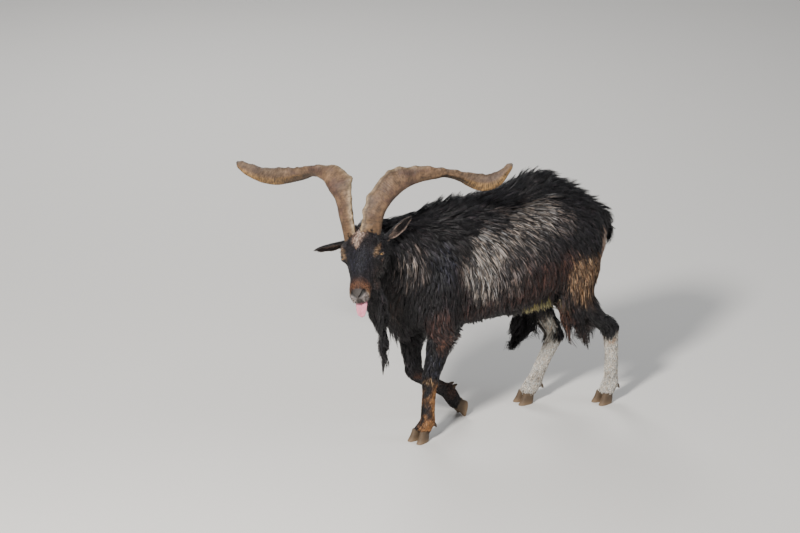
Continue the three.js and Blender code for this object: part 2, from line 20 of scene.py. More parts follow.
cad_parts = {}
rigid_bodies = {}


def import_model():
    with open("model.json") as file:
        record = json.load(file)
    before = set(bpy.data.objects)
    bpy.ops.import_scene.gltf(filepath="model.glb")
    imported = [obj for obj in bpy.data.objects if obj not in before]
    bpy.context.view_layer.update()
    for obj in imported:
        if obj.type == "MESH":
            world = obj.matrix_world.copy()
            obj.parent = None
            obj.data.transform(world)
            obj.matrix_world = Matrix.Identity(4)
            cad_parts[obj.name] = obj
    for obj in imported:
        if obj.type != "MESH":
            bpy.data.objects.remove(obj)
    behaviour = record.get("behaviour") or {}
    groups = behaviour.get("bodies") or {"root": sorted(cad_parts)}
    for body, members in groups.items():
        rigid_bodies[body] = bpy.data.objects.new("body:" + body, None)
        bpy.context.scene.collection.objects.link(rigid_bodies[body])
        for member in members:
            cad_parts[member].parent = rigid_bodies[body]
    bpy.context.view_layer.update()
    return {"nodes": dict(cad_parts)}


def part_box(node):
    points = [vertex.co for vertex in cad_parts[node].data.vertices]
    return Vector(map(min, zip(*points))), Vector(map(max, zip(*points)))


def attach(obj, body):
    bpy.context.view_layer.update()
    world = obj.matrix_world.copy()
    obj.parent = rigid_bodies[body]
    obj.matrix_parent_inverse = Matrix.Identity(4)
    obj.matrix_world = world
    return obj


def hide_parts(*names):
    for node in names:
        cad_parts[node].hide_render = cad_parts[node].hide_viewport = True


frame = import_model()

# %% [markdown]
# ## Places and directions
# The animal was drawn in millimetres from an origin under its body, then moved to stand over the
# middle of its own box. All places below are written as they were drawn, because those numbers are
# easy to follow: it faces -X, its left side is towards -Y, and Z is up. One function turns them
# into metres in the shared frame. The head has a frame of its own, with x to the nose, y to the
# goat's left and z to the top of the skull, as a head is symmetric only in its own frame.

# %% From drawn millimetres to metres
ORIGIN = np.array([255.1, -42.5, 0.0])  # how far the drawing was moved to be centred, mm
HEAD_PLACE = (-672, -108, 824)  # the back of the skull
HEAD_YAW, HEAD_ROLL, HEAD_PITCH = -134.5, 13, 25  # degrees


def metres(places):
    """Turns drawn millimetres into metres of the shared frame, for one place or many."""
    return (np.asarray(places, float) + ORIGIN) / 1000


def drawn(places):
    return np.asarray(places, float) * 1000 - ORIGIN


def turn(degrees, axis):
    return np.array(Matrix.Rotation(math.radians(degrees), 3, axis))


def unit(vectors):
    vectors = np.asarray(vectors, float)
    return vectors / np.maximum(np.linalg.norm(vectors, axis=-1, keepdims=True), 1e-9)


LEVEL_HEAD = turn(HEAD_YAW, "Z") @ turn(HEAD_ROLL, "X")
SKULL = LEVEL_HEAD @ turn(HEAD_PITCH, "Y")


def in_skull(places):
    """Places in the skull's frame, as drawn millimetres of the whole animal."""
    return np.asarray(places, float) @ SKULL.T + HEAD_PLACE


def to_skull(places):
    return (np.asarray(places, float) - HEAD_PLACE) @ SKULL


def from_head(forward, left, up):
    return LEVEL_HEAD @ np.array([forward, left, up], float)


EYE = np.array([100, 66, 20.5])  # in the skull's frame, for the left side
EYE_RADIUS = 14
SIDES = {"left": 1, "right": -1}  # signs of y in the skull's frame
eye_box = [np.array(corner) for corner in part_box("eye_left")]
print("eye off its drawn place by, mm:", np.round(
    1000 * (sum(eye_box) / 2 - metres(in_skull(EYE))), 2))

# %% [markdown]
# ## Camera, floor and light
# An animal is looked at from the height of a person's eyes, from the side and a little in front.
# A long lens keeps its proportions. The floor is a pale sheet, and the light comes from big soft
# lamps: a main one high up at the front of its left side, where it models the coat, a weaker one
# on the other side, and one behind that draws a rim along dark hair.

# %% The camera
CAMERA_AIM = Vector(metres((-480, 0, 655)))
CAMERA_AZIMUTH, CAMERA_HEIGHT_ANGLE = -30, 20  # degrees
CAMERA_DISTANCE = 20.0
LENS, SENSOR = 250, 36  # mm

azimuth, elevation = math.radians(CAMERA_AZIMUTH), math.radians(CAMERA_HEIGHT_ANGLE)
towards_camera = Vector((math.sin(azimuth) * math.cos(elevation),
                         -math.cos(azimuth) * math.cos(elevation), math.sin(elevation)))
camera = bpy.data.objects.new("camera", bpy.data.cameras.new("camera"))
camera.data.lens, camera.data.sensor_width = LENS, SENSOR
camera.location = CAMERA_AIM + towards_camera * CAMERA_DISTANCE
camera.rotation_euler = towards_camera.to_track_quat("Z", "Y").to_euler()
bpy.context.scene.collection.objects.link(camera)
bpy.context.scene.camera = camera
print("camera at", tuple(round(x, 2) for x in camera.location))


# %% The lamps and the world
def lamp(name, place, aim, size, power, colour):
    light = bpy.data.lights.new(name, "AREA")
    light.shape, light.size, light.energy, light.color = "DISK", size, power, colour
    holder = bpy.data.objects.new(name, light)
    holder.location = place
    holder.rotation_euler = (Vector(place) - Vector(aim)).to_track_quat("Z", "Y").to_euler()
    bpy.context.scene.collection.objects.link(holder)


lamp("main_light", (-4.0, -2.9, 4.2), (0, 0, 0.5), 0.9, 680, (1.0, 0.97, 0.93))
lamp("fill_light", (4.0, -2.6, 2.6), (0, 0, 0.5), 2.6, 60, (0.88, 0.94, 1.0))
lamp("back_light", (1.2, 4.6, 3.6), (0, 0, 0.6), 2.2, 150, (1.0, 1.0, 1.0))

world = bpy.data.worlds.new("studio")
bpy.context.scene.world = world
world.use_nodes = True
world.node_tree.nodes["Background"].inputs["Color"].default_value = (0.93, 0.95, 1.0, 1)
world.node_tree.nodes["Background"].inputs["Strength"].default_value = 0.28

# %% [markdown]
# ## Writing materials
# A material is a small program. To keep it readable, sums on its values are written as sums in
# Python: the class below wraps one output of a node, and each operator adds a Math node. All other
# nodes come from one method, which takes the kind of node, its settings and what goes into it.

# %% Colours in light
def srgb(red, green, sky_sheen_black):
    """A colour as it is named on a screen, 0 to 255, in the linear values that light uses."""
    shares = np.array([red, green, sky_sheen_black], float) / 255
    linear = np.where(shares <= 0.04045, shares / 12.92, ((shares + 0.055) / 1.055) ** 2.4)
    return tuple(float(x) for x in linear)


print("a screen's middle grey is", round(srgb(128, 128, 128)[0], 3), "in light")


# %% Values that stand in sums
class Value:
    """An output of a node that is used in sums as a number is."""

    def __init__(self, finish, socket):
        self.finish, self.socket = finish, socket

    def math(self, operation, *others):
        return self.finish.add("ShaderNodeMath", {"operation": operation},
                               dict(enumerate((self, *others))))

    def __add__(self, other): return self.math("ADD", other)
    def __mul__(self, other): return self.math("MULTIPLY", other)
    def __sub__(self, other): return self.math("SUBTRACT", other)
    def __rsub__(self, other): return self.finish.add(
        "ShaderNodeMath", {"operation": "SUBTRACT"}, {0: other, 1: self})
    def __truediv__(self, other): return self.math("DIVIDE", other)
    def __pow__(self, other): return self.math("POWER", other)
    __radd__, __rmul__ = __add__, __mul__


print("values take + - * / and **, and math() for the rest")


# %% A finish
TINT = "Coat"  # the name of the meshes' own colours


class Finish:
    """A material with one Principled shader, and the nodes that feed it."""

    def __init__(self, name, **constants):
        self.material = bpy.data.materials.new(name)
        self.material.use_nodes = True
        self.nodes = self.material.node_tree.nodes
        self.shader = self.nodes["Principled BSDF"]
        for key, value in constants.items():
            self.feed(self.shader.inputs[key.replace("_", " ")], value)

    def feed(self, socket, value):
        if isinstance(value, Value):
            self.material.node_tree.links.new(value.socket, socket)
        elif isinstance(value, (tuple, list)) and socket.type == "RGBA":
            socket.default_value = (*value[:3], 1)
        else:
            socket.default_value = value

    def add(self, kind, settings=None, values=None, out=0):
        node = self.nodes.new(kind)
        for key, value in (settings or {}).items():
            setattr(node, key, value)
        for key, value in (values or {}).items():
            self.feed(node.inputs[key], value)
        return Value(self, node.outputs[out])

    def mix(self, factor, a, b, blend="MIX"):
        return self.add("ShaderNodeMix", {"data_type": "RGBA", "blend_type": blend},
                        {0: factor, 6: a, 7: b}, out=2)

    def noise(self, scale, detail=3.0, roughness=0.5, at=None):
        values = {"Scale": scale, "Detail": detail, "Roughness": roughness}
        values["Vector"] = at or self.add("ShaderNodeTexCoord", out="Object")
        return self.add("ShaderNodeTexNoise", {}, values, out="Fac")

    def stretched(self, scale):
        """The place on the piece, with each of its three numbers multiplied."""
        at = self.add("ShaderNodeTexCoord", out="Object")
        return self.add("ShaderNodeMapping", {}, {"Vector": at, "Scale": scale})

    def tint(self):
        """The colour that each point of the mesh brings along."""
        return self.add("ShaderNodeAttribute", {"attribute_name": TINT}, out="Color")

    def finish(self, colour, roughness=None, height=None, strength=0.3, distance=0.001):
        self.feed(self.shader.inputs["Base Color"], colour)
        if roughness is not None:
            self.feed(self.shader.inputs["Roughness"], roughness)
        if height is not None:
            self.feed(self.shader.inputs["Normal"], self.add("ShaderNodeBump", {}, {
                "Strength": strength, "Distance": distance, "Height": height}))
        return self.material


def new_object(name, mesh, material):
    mesh.materials.clear()
    mesh.materials.append(material)
    made = bpy.data.objects.new(name, mesh)
    bpy.context.scene.collection.objects.link(made)
    return made


print("each finish reads the meshes' colours under the name", TINT)


# %% The floor
FLOOR_HALF = 30.0
floor_finish = Finish("floor_card", Roughness=0.8)
floor_finish.finish(floor_finish.mix(floor_finish.noise(1.5) * 0.3, srgb(214, 212, 208),
                                     srgb(208, 206, 202)))
sheet = bmesh.new()
bmesh.ops.create_grid(sheet, x_segments=1, y_segments=1, size=FLOOR_HALF)
floor_mesh = bpy.data.meshes.new("floor")
sheet.to_mesh(floor_mesh)
sheet.free()
floor = new_object("floor", floor_mesh, floor_finish.material)
print("floor", FLOOR_HALF * 2, "m across")

# %% [markdown]
# ## Smooth tubes along a line
# Horns, tongue, lids and hooves are all tubes whose section changes along a line. A few stations
# say where the line goes and how wide and deep the tube is there, and a curve through the stations
# fills in the rest. A grid with as many rows as rings is laid round each ring, then its two long
# edges are merged and its ends are filled, so the mesh comes from Blender's own operators.


# %% A curve through stations
def through(points, shares):
    """Places on a smooth curve through points, at shares from 0 to 1 of the way."""
    points = np.asarray(points, float)
    if points.ndim == 1:
        points = points[:, None]
    padded = np.vstack([2 * points[0] - points[1], points, 2 * points[-1] - points[-2]])
    along = np.clip(np.asarray(shares, float), 0, 1) * (len(points) - 1)
    first = np.minimum(along.astype(int), len(points) - 2)
    part = (along - first)[:, None]
    a, b, c, d = (padded[first + k] for k in range(4))
    gap = [np.maximum(np.linalg.norm(q - p, axis=1)[:, None], 1e-8) ** 0.5
           for p, q in ((a, b), (b, c), (c, d))]
    gap[1] = np.where(gap[1] < 1e-3, 1.0, gap[1])
    gap[0], gap[2] = (np.where(g < 1e-3, gap[1], g) for g in (gap[0], gap[2]))
    start = ((b - a) / gap[0] - (c - a) / (gap[0] + gap[1]) + (c - b) / gap[1]) * gap[1]
    end = ((c - b) / gap[1] - (d - b) / (gap[1] + gap[2]) + (d - c) / gap[2]) * gap[1]
    return (b + start * part + (3 * (c - b) - 2 * start - end) * part ** 2
            + (2 * (b - c) + start + end) * part ** 3)


print("halfway from 0 to 10 by way of 2:", through([0, 2, 10], [0.5]).ravel())


# %% The rings of a tube
def tube_rings(stations, rings, sides, across, keel=0.0, square=2.0, along=None):
    """Rings of places, drawn mm: a station is its middle, half-width, and half-depth to the
    fore and to the aft side. The last arrays say how far along and round each place is."""
    shares = np.linspace(0, 1, rings)
    middle = through([s[0] for s in stations], shares)
    wide, fore, aft = (through([s[k] for s in stations], shares) for k in (1, 2, 3))
    side = through(np.broadcast_to(np.asarray(across, float), (len(stations), 3)), shares)
    ahead = (np.broadcast_to(along, middle.shape) if along is not None
             else unit(np.gradient(middle, axis=0)))
    side = unit(side - ahead * (side * ahead).sum(1, keepdims=True))
    up = np.cross(ahead, side)
    angle = np.linspace(0, 2 * math.pi, sides + 1)
    x, z = np.sin(angle), np.cos(angle)
    bulge = (abs(x) ** square + abs(z) ** square) ** (-1 / square)
    x, z = (x * bulge)[None, :, None], (z * bulge)[None, :, None]
    deep = np.where(z > 0, fore[:, None], aft[:, None])
    places = (middle[:, None] + side[:, None] * x * wide[:, None]
              + up[:, None] * z * deep * (1 - keel * x))
    return places, np.broadcast_to(shares[:, None], places.shape[:2]), np.broadcast_to(
        angle[None], places.shape[:2])


PEG = [((0, 0, 0), 1, 1, 1), ((0, 0, 9), 2, 2, 2)]
print("a peg of 5 rings and 8 sides is a grid of", tube_rings(PEG, 5, 8, (1, 0, 0))[0].shape)


# %% A mesh on the rings
MERGE = 1e-6  # places nearer to each other than this, m, are one


def grid_mesh(name, places):
    """A grid laid over rings of places, drawn mm, and closed to a tube with filled ends."""
    rows, columns = places.shape[:2]
    bm = bmesh.new()
    bmesh.ops.create_grid(bm, x_segments=columns - 1, y_segments=rows - 1, size=0.5)
    flat = metres(places)
    for vert in bm.verts:
        row = round((vert.co.y + 0.5) * (rows - 1))
        column = round((vert.co.x + 0.5) * (columns - 1))
        vert.co = flat[row, column]
    bmesh.ops.remove_doubles(bm, verts=bm.verts, dist=MERGE)
    bmesh.ops.holes_fill(bm, edges=[edge for edge in bm.edges if edge.is_boundary])
    for face in bm.faces:
        face.smooth = True
    bmesh.ops.recalc_face_normals(bm, faces=bm.faces)
    mesh = bpy.data.meshes.new(name)
    bm.to_mesh(mesh)
    bm.free()
    return mesh


peg = grid_mesh("peg", tube_rings(PEG, 5, 8, (1, 0, 0))[0])
print("as a closed mesh it has", len(peg.vertices), "points")
bpy.data.meshes.remove(peg)

# %% [markdown]
# ## The limbs' places
# The lie of the hair and its markings follow the limbs, so the places of the joints are written
# down once. A hoof's frame has x to the toes, z up and its origin between the claws on the sole.

# %% Joints, hooves, ears
LEGS = {
    "fore_left": [(-352, -96, 580), (-354, -92, 452), (-372, -86, 340), (-400, -78, 226),
                  (-406, -76, 140), (-410, -76, 66), (-438, -78, 36)],
    "fore_right": [(-356, 96, 570), (-366, 90, 436), (-386, 84, 320), (-378, 76, 204),
                   (-304, 73, 144), (-236, 74, 100), (-203, 74, 48)],
    "hind_left": [(212, -74, 704), (215, -92, 590), (200, -104, 480), (256, -98, 385),
                  (360, -88, 292), (372, -84, 180), (368, -82, 72), (344, -84, 36)],
    "hind_right": [(206, 74, 704), (180, 90, 590), (140, 100, 475), (170, 88, 360),
                   (222, 70, 240), (168, 64, 150), (124, 60, 74), (92, 60, 36)],
}
FEET = {"fore_left": (196, 0, 8), "fore_right": (180, 75, 6), "hind_left": (186, 0, 7),
        "hind_right": (178, 0, 6)}  # where the toes point, how far tipped, how far spread
CLAW_HEIGHT, CLAW_HALF_WIDTH, CLEFT_HALF_WIDTH = 36, 15, 2.5
EAR_ROOT, EAR_LENGTH = np.array([-2, 69, -1]), 128
EARS = {"left": ((0.53, -0.81, 0.22), (0.82, 0.42, -0.39)),
        "right": ((0.93, 0.36, 0.02), (-0.21, 0.58, -0.79))}  # along and open: out, forward, up


def hoof_frame(leg, side):
    """The turn and the place of one claw's frame."""
    heading, tip, spread = FEET[leg]
    foot = turn(heading, "Z") @ turn(tip, "Y")
    return foot @ turn(side * spread, "Z"), foot @ (-4, 0, -CLAW_HEIGHT) + LEGS[leg][-1]


def claws():
    """Every claw: its node's name, its leg, and the sign of y of its side of the hoof."""
    for leg in LEGS:
        outer = SIDES[leg.split("_")[1]]
        for which, side in (("inner", -outer), ("outer", outer)):
            yield f"claw_{leg}_{which}", leg, side


def ear_frame(name):
    """An ear's root, the way it points and the way it opens, drawn mm."""
    out = SIDES[name]
    along, opening = (unit(from_head(v[1], out * v[0], v[2])) for v in EARS[name])
    opening = unit(opening - along * (along @ opening))
    return in_skull(EAR_ROOT * (1, out, 1)), along, opening


print("claws:", len(list(claws())), "ear roots:", [ear_frame(side)[0].round() for side in SIDES])

# %% [markdown]
# ## One skin for all the flesh
# The solids meet in thin cuts that would show as seams. Boolean joins of so many faceted solids
# are fragile, so their copies are swollen by a hair's breadth until they overlap, and a voxel
# remesh wraps them all in one even net of quads. The eyes, the horns' roots, the ears' roots and
# the tops of the hooves are filled in too, so that the skin runs on under them. A smoothing that
# doesn't shrink takes the facets out. Then each point moves inwards by the depth of its coat.

# %% Copies of the solids, joined
FLESH = ["neck", "head", "beard", "trunk", "tail", "scrotum"] + [
    f"{part}_{side}" for part in ("forearm", "fore_shank", "gaskin", "hind_shank")
    for side in SIDES]
SWELL = 0.0004  # m, as the next two
VOXEL = 0.0066
SAME_CORNER = 2e-5


def copied(name, keep=None):
    """A merged copy of a node's mesh, swollen, and cut to one side of a plane."""
    bm = bmesh.new()
    bm.from_mesh(frame["nodes"][name].data)
    bmesh.ops.remove_doubles(bm, verts=bm.verts, dist=SAME_CORNER)
    bm.normal_update()
    for vert in bm.verts:
        vert.co += vert.normal * SWELL
    if keep:
        place, away = keep
        bmesh.ops.bisect_plane(bm, geom=bm.verts[:] + bm.edges[:] + bm.faces[:],
                               plane_co=Vector(metres(place)), plane_no=Vector(away),
                               clear_outer=True)
        bmesh.ops.holes_fill(bm, edges=[e for e in bm.edges if e.is_boundary])
    mesh = bpy.data.meshes.new("copied")
    bm.to_mesh(mesh)
    bm.free()
    return mesh


print("nodes of flesh:", len(FLESH))


# %% The roots of the hard parts, and the remesh
EAR_STUMP, HOOF_TOP = 12, 20  # how far along the ear and up the claw the skin goes, mm
HORN_STUMP, TONGUE_ROOT = (0, 0, 74), (262, 0, 0)  # in the skull's frame

joined = bmesh.new()
for node in FLESH:
    joined.from_mesh(copied(node))
for side, sign in SIDES.items():
    root, along, _ = ear_frame(side)
    joined.from_mesh(copied(f"ear_{side}", keep=(root + along * EAR_STUMP, along)))
    joined.from_mesh(copied(f"horn_{side}", keep=(in_skull(HORN_STUMP), SKULL[:, 2])))
    bmesh.ops.create_uvsphere(
        joined, u_segments=16, v_segments=12, radius=(EYE_RADIUS + 1) / 1000,
        matrix=Matrix.Translation(metres(in_skull(EYE * (1, sign, 1)))))
joined.from_mesh(copied("tongue", keep=(in_skull(TONGUE_ROOT), SKULL[:, 0])))
for node, leg, side in claws():
    facing, place = hoof_frame(leg, side)
    joined.from_mesh(copied(node, keep=(place + facing[:, 2] * HOOF_TOP, -facing[:, 2])))
joined_mesh = bpy.data.meshes.new("joined")
joined.to_mesh(joined_mesh)
joined.free()
wrapping = bpy.data.objects.new("wrapping", joined_mesh)
bpy.context.scene.collection.objects.link(wrapping)
remesh = wrapping.modifiers.new("wrap", "REMESH")
remesh.mode, remesh.voxel_size = "VOXEL", VOXEL
wrapped = bpy.data.meshes.new_from_object(
    wrapping.evaluated_get(bpy.context.evaluated_depsgraph_get()))
bpy.data.objects.remove(wrapping)
print("wrapped skin:", len(wrapped.vertices), "points")


# %% Arrays of a mesh, and smoothing on them
def array(items, name, width, kind=np.float64):
    found = np.empty(len(items) * width, kind)
    items.foreach_get(name, found)
    return found.reshape(-1, width) if width > 1 else found


class Net:
    """A mesh of points and edges that numpy can smooth."""

    def __init__(self, mesh):
        self.edges = array(mesh.edges, "vertices", 2, np.int32)
        self.count = len(mesh.vertices)
        self.near = np.maximum(np.bincount(self.edges.ravel(), minlength=self.count), 1)

    def mean(self, values):
        """The mean over each point's neighbours."""
        columns = values.reshape(self.count, -1).T
        a, b = self.edges.T
        total = [np.bincount(a, c[b], self.count) + np.bincount(b, c[a], self.count)
                 for c in columns]
        return (np.array(total) / self.near).T.reshape(values.shape)

    def smooth(self, values, rounds, share=0.5, back=0.0, where=None):
        """Moves values towards their neighbours' mean, and back a little to keep the volume."""
        where = 1.0 if where is None else where[:, None]
        for _ in range(rounds):
            values = values + share * where * (self.mean(values) - values)
            if back:
                values = values - back * where * (self.mean(values) - values)
        return values


net = Net(wrapped)
print("the net has", len(net.edges), "edges")


# %% The outer shell alone, smoothed
SMOOTH_ROUNDS, SMOOTH_SHARE, SMOOTH_BACK = 14, 0.55, 0.57


def main_part(mesh):
    """Deletes the small shells that a remesh leaves inside."""
    bm = bmesh.new()
    bm.from_mesh(mesh)
    left, shells = set(bm.verts), []
    while left:
        shell, edge = set(), [left.pop()]
        while edge:
            vert = edge.pop()
            shell.add(vert)
            for other in (e.other_vert(vert) for e in vert.link_edges):
                if other in left:
                    left.remove(other)
                    edge.append(other)
        shells.append(shell)
    keep = max(shells, key=len)
    bmesh.ops.delete(bm, geom=[v for shell in shells if shell is not keep for v in shell])
    bm.to_mesh(mesh)
    bm.free()
    return len(shells)


print("shells:", main_part(wrapped))
net = Net(wrapped)
points = drawn(array(wrapped.vertices, "co", 3))
points = net.smooth(points, SMOOTH_ROUNDS, share=SMOOTH_SHARE, back=SMOOTH_BACK)
wrapped.vertices.foreach_set("co", metres(points).ravel())
wrapped.update()


# %% Which solid each point comes from
def tree_of(places, faces):
    return BVHTree.FromPolygons([tuple(p) for p in places], faces)


NAMES = FLESH + [node for node, _, _ in claws()]
solid_places, solid_faces, solid_names = [], [], []
for number, node in enumerate(NAMES):
    mesh = frame["nodes"][node].data
    start = sum(len(p) for p in solid_places)
    solid_places.append(array(mesh.vertices, "co", 3))
    mesh.calc_loop_triangles()
    corners = array(mesh.loop_triangles, "vertices", 3, np.int32) + start
    solid_faces += corners.tolist()
    solid_names += [number] * len(corners)
solids = tree_of(np.vstack(solid_places), solid_faces)


def home_of(places):
    """For each place in metres, the number of the nearest solid."""
    return np.array([solid_names[solids.find_nearest(p)[2]] for p in places])


print("solids in the tree:", len(NAMES), "with", len(solid_faces), "triangles")

# %% [markdown]
# ## How the hair grows
# Each solid has its own kind of hair: how long its locks are, how deep the coat is, how wide a
# lock is, how many layers cover the skin, and how far the tips stand off. Some places differ from
# their solid: the crest over the loins stands up, the hair in front of the thighs hangs in
# skirts. The spots below say where, and how far their influence reaches. Hair on the face and
# feet is shortest.

# %% The kinds of hair
# length, depth, width, layers, how far the tips stand off (all mm but the layers)
HAIR = {
    "head": (11, 2.8, 1.5, 1.65, 0.8), "beard": (105, 24, 2.4, 6.0, 2),
    "neck": (70, 23, 2.4, 4.2, 3), "trunk": (60, 18, 2.3, 4.0, 2), "tail": (58, 14, 2.2, 7, 12),
    "scrotum": (14, 4, 2.4, 2, 1), "forearm": (32, 9, 2.7, 3.4, 2),
    "fore_shank": (11, 2.4, 1.8, 1.7, 0.3), "gaskin": (42, 11, 2.5, 3.6, 3),
    "hind_shank": (12, 2.4, 1.8, 1.7, 0.3), "claw": (4, 5, 2, 0, 0),
}
# place, reach, hair, and whether it is the same on both sides
HAIR_SPOTS = [
    ((90, 0, 905), 90, (76, 22, 2.4, 6, 36), True), ((0, 0, 890), 80, (72, 22, 2.4, 6, 28), True),
    ((180, 0, 870), 70, (66, 18, 2.4, 5.2, 28), True),
    ((-160, 0, 872), 90, (64, 18, 2.4, 5, 12), True),
    ((-330, 0, 872), 90, (74, 20, 2.4, 5, 26), True),
    ((280, 0, 800), 70, (64, 14, 2.4, 5, 26), True),
    ((350, 0, 740), 50, (62, 12, 2.3, 6, 26), True),
    ((300, -90, 690), 90, (46, 12, 2.5, 4.2, 3), True),
    ((240, -140, 560), 90, (44, 12, 2.5, 4, 3), True),
    ((0, 0, 400), (150, 90, 60), (20, 10, 2.5, 3.2, 0), True),
    ((-240, 0, 400), (150, 90, 60), (20, 10, 2.5, 3.2, 0), True),
    ((-40, 140, 440), (150, 70, 48), (30, 11, 2.5, 3.8, 0), True),
    ((-250, 130, 440), (130, 70, 48), (30, 11, 2.5, 3.8, 0), True),
    ((-682, -222, 440), 60, (64, 14, 2.3, 3.6, 2), False),
    ((-540, 0, 560), 90, (90, 24, 2.5, 5, 5), True),
    ((-480, 0, 470), 90, (76, 22, 2.5, 5, 6), True),
    ((50, 0, 400), 46, (40, 12, 2.7, 5, 6), True),
    ((186, -116, 400), 76, (88, 20, 2.3, 4.0, 6), False),
    ((196, -126, 320), 60, (84, 18, 2.0, 3.4, 8), False),
    ((128, 102, 390), 76, (92, 20, 2.3, 4.4, 6), False),
    ((108, 106, 300), 66, (92, 20, 2.2, 3.8, 8), False),
    ((280, -96, 370), 44, (30, 8, 2.7, 3.4, 2), False),
    ((190, 84, 350), 44, (30, 8, 2.7, 3.4, 2), False),
    ((-360, -110, 400), 60, (27, 9, 2.5, 3.6, 1), True),
    ((90, 110, 428), (70, 60, 40), (20, 8, 2.4, 3.4, 0), True),
]
# places on the head, in the skull's frame: the forelock, cheeks, jaw, muzzle and nose
HEAD_HAIR_SPOTS = [
    ((34, 0, 80), 32, (44, 9, 2.3, 5, 3)), ((-20, 40, 40), 46, (34, 10, 2.6, 3.5, 2)),
    ((-20, -40, 40), 46, (34, 10, 2.6, 3.5, 2)), ((20, 64, -30), 44, (36, 10, 2.6, 4, 2)),
    ((20, -64, -30), 44, (36, 10, 2.6, 4, 2)), ((90, 44, -58), 50, (38, 10, 2.6, 4, 2)),
    ((90, -44, -58), 50, (38, 10, 2.6, 4, 2)), ((64, 0, 70), 30, (17, 4.5, 1.9, 2.6, 1.0)),
    ((62, 36, 66), 26, (14, 4, 1.7, 2.6, 1.2)), ((62, -36, 66), 26, (14, 4, 1.7, 2.6, 1.2)),
    ((28, 40, 68), 22, (9, 3, 1.6, 2.4, 0.4)), ((28, -40, 68), 22, (9, 3, 1.6, 2.4, 0.4)),
    ((150, 0, 40), 44, (9, 2.1, 1.35, 1.7, 0.3)), ((215, 0, 10), 44, (6, 1.4, 1.2, 1.6, 0.1)),
    ((262, 0, -10), 26, (4, 0.8, 0.95, 1.3, 0.05)),
    ((284, 0, -12), (17, 25, 22), (3, 0.3, 1.0, 0.0, 0)),
    ((282, 0, -38), (14, 26, 8), (3, 0.3, 1.0, 0.0, 0)),
    ((250, 26, -30), 24, (4.5, 1.0, 1.05, 1.4, 0.1)),
    ((250, -26, -30), 24, (4.5, 1.0, 1.05, 1.4, 0.1)),
    ((101, 62, 21), 24, (4.5, 1.3, 1.1, 1.6, 0.05)),
    ((101, -62, 21), 24, (4.5, 1.3, 1.1, 1.6, 0.05)),
    ((262, 0, -56), 22, (9, 1.8, 1.4, 1.6, 0.4)), ((225, 0, -62), 30, (60, 8, 2.4, 5, 2)),
]
print("kinds of hair:", len(HAIR), "spots:", len(HAIR_SPOTS) + len(HEAD_HAIR_SPOTS))


# %% What is near a place
def nearest_of(places, choices):
    """For each place, the number of the nearest among the choices."""
    tree = KDTree(len(choices))
    for i, choice in enumerate(choices.tolist()):
        tree.insert(choice, i)
    tree.balance()
    return np.array([tree.find(place)[1] for place in places.tolist()])


def near(places, middle, reach):
    """1 at a middle, and softly less further off. The reach may differ along the three axes."""
    off = (places - np.asarray(middle, float)) / np.asarray(reach, float)
    return np.exp(-(off ** 2).sum(-1))


def other_side(place):
    return (place[0], -place[1], place[2])


print("at half its reach a spot counts", round(float(near((5, 0, 0), (0, 0, 0), 10)), 2))


# %% The hair at a place
BLEND_ROUNDS = 14  # how softly one solid's kind of hair becomes its neighbour's


def hair_at(places, homes, net):
    """Length, depth, width, layers and lift of the hair at each place."""
    kinds = np.array([HAIR[next(k for k in HAIR if n.startswith(k))] for n in NAMES], float)
    hair = net.smooth(kinds[homes], BLEND_ROUNDS)
    for place, reach, values, both in HAIR_SPOTS:
        share = near(places, place, reach)
        if both and place[1]:
            share = np.maximum(share, near(places, other_side(place), reach))
        hair += share[:, None] * (np.array(values) - hair)
    on_head = np.isin(homes, [NAMES.index("head"), NAMES.index("neck"), NAMES.index("beard")])
    skull = to_skull(places)
    for place, reach, values in HEAD_HAIR_SPOTS:
        share = near(skull, place, reach) * on_head
        hair += share[:, None] * (np.array(values) - hair)
    return hair


homes = home_of(metres(points))
hair = hair_at(points, homes, net)
print("length of hair, mm:", round(hair[:, 0].min(), 1), "to", round(hair[:, 0].max(), 1))


# %% The skin, inside the coat
MOST_OF_THICKNESS = 0.35  # the coat takes no more of a limb's thickness than this
MOST_OF_HANGING = 0.43  # or of a beard's or skirt's
HANGING_BELOW, HANGING_BEHIND = 470, 40  # mm: where the thighs' skirts of hair are
SKIRT_HAIR = 70  # how long it is at least in the left skirt
SKIRT_TIP, SKIRT_REACH, SKIRT_RISE = (188, -130, 285), (44, 45, 60), 58  # hair alone hangs below
THICKEST, UNDER_SURFACE = 0.5, 0.0005  # m


def normals_of(mesh):
    return array(mesh.vertices, "normal", 3)


outwards = unit(net.smooth(normals_of(wrapped), 3))
outside = tree_of(metres(points), [tuple(p.vertices) for p in wrapped.polygons])
thickness = np.full(len(points), THICKEST)
for i, (place, inward) in enumerate(zip(metres(points), -outwards)):
    hit = outside.ray_cast(Vector(place + inward * UNDER_SURFACE), Vector(inward), THICKEST)
    if hit[3] is not None:
        thickness[i] = hit[3]
hangs = (homes == NAMES.index("beard")) | (
    (hair[:, 0] > SKIRT_HAIR) & (points[:, 0] > HANGING_BEHIND) & (points[:, 1] < 0)
    & (points[:, 2] < HANGING_BELOW))
most = np.where(hangs, MOST_OF_HANGING, MOST_OF_THICKNESS)
sink = np.minimum(hair[:, 1], most * thickness * 1000)
sink = net.smooth(sink[:, None], 5)
points = points - outwards * sink
points[:, 2] += SKIRT_RISE * near(points, SKIRT_TIP, SKIRT_REACH)
points = net.smooth(points, 2, share=0.5, back=0.5)
wrapped.vertices.foreach_set("co", metres(points).ravel())
wrapped.update()
print("coat depth, mm:", round(float(sink.min()), 1), "to", round(float(sink.max()), 1))


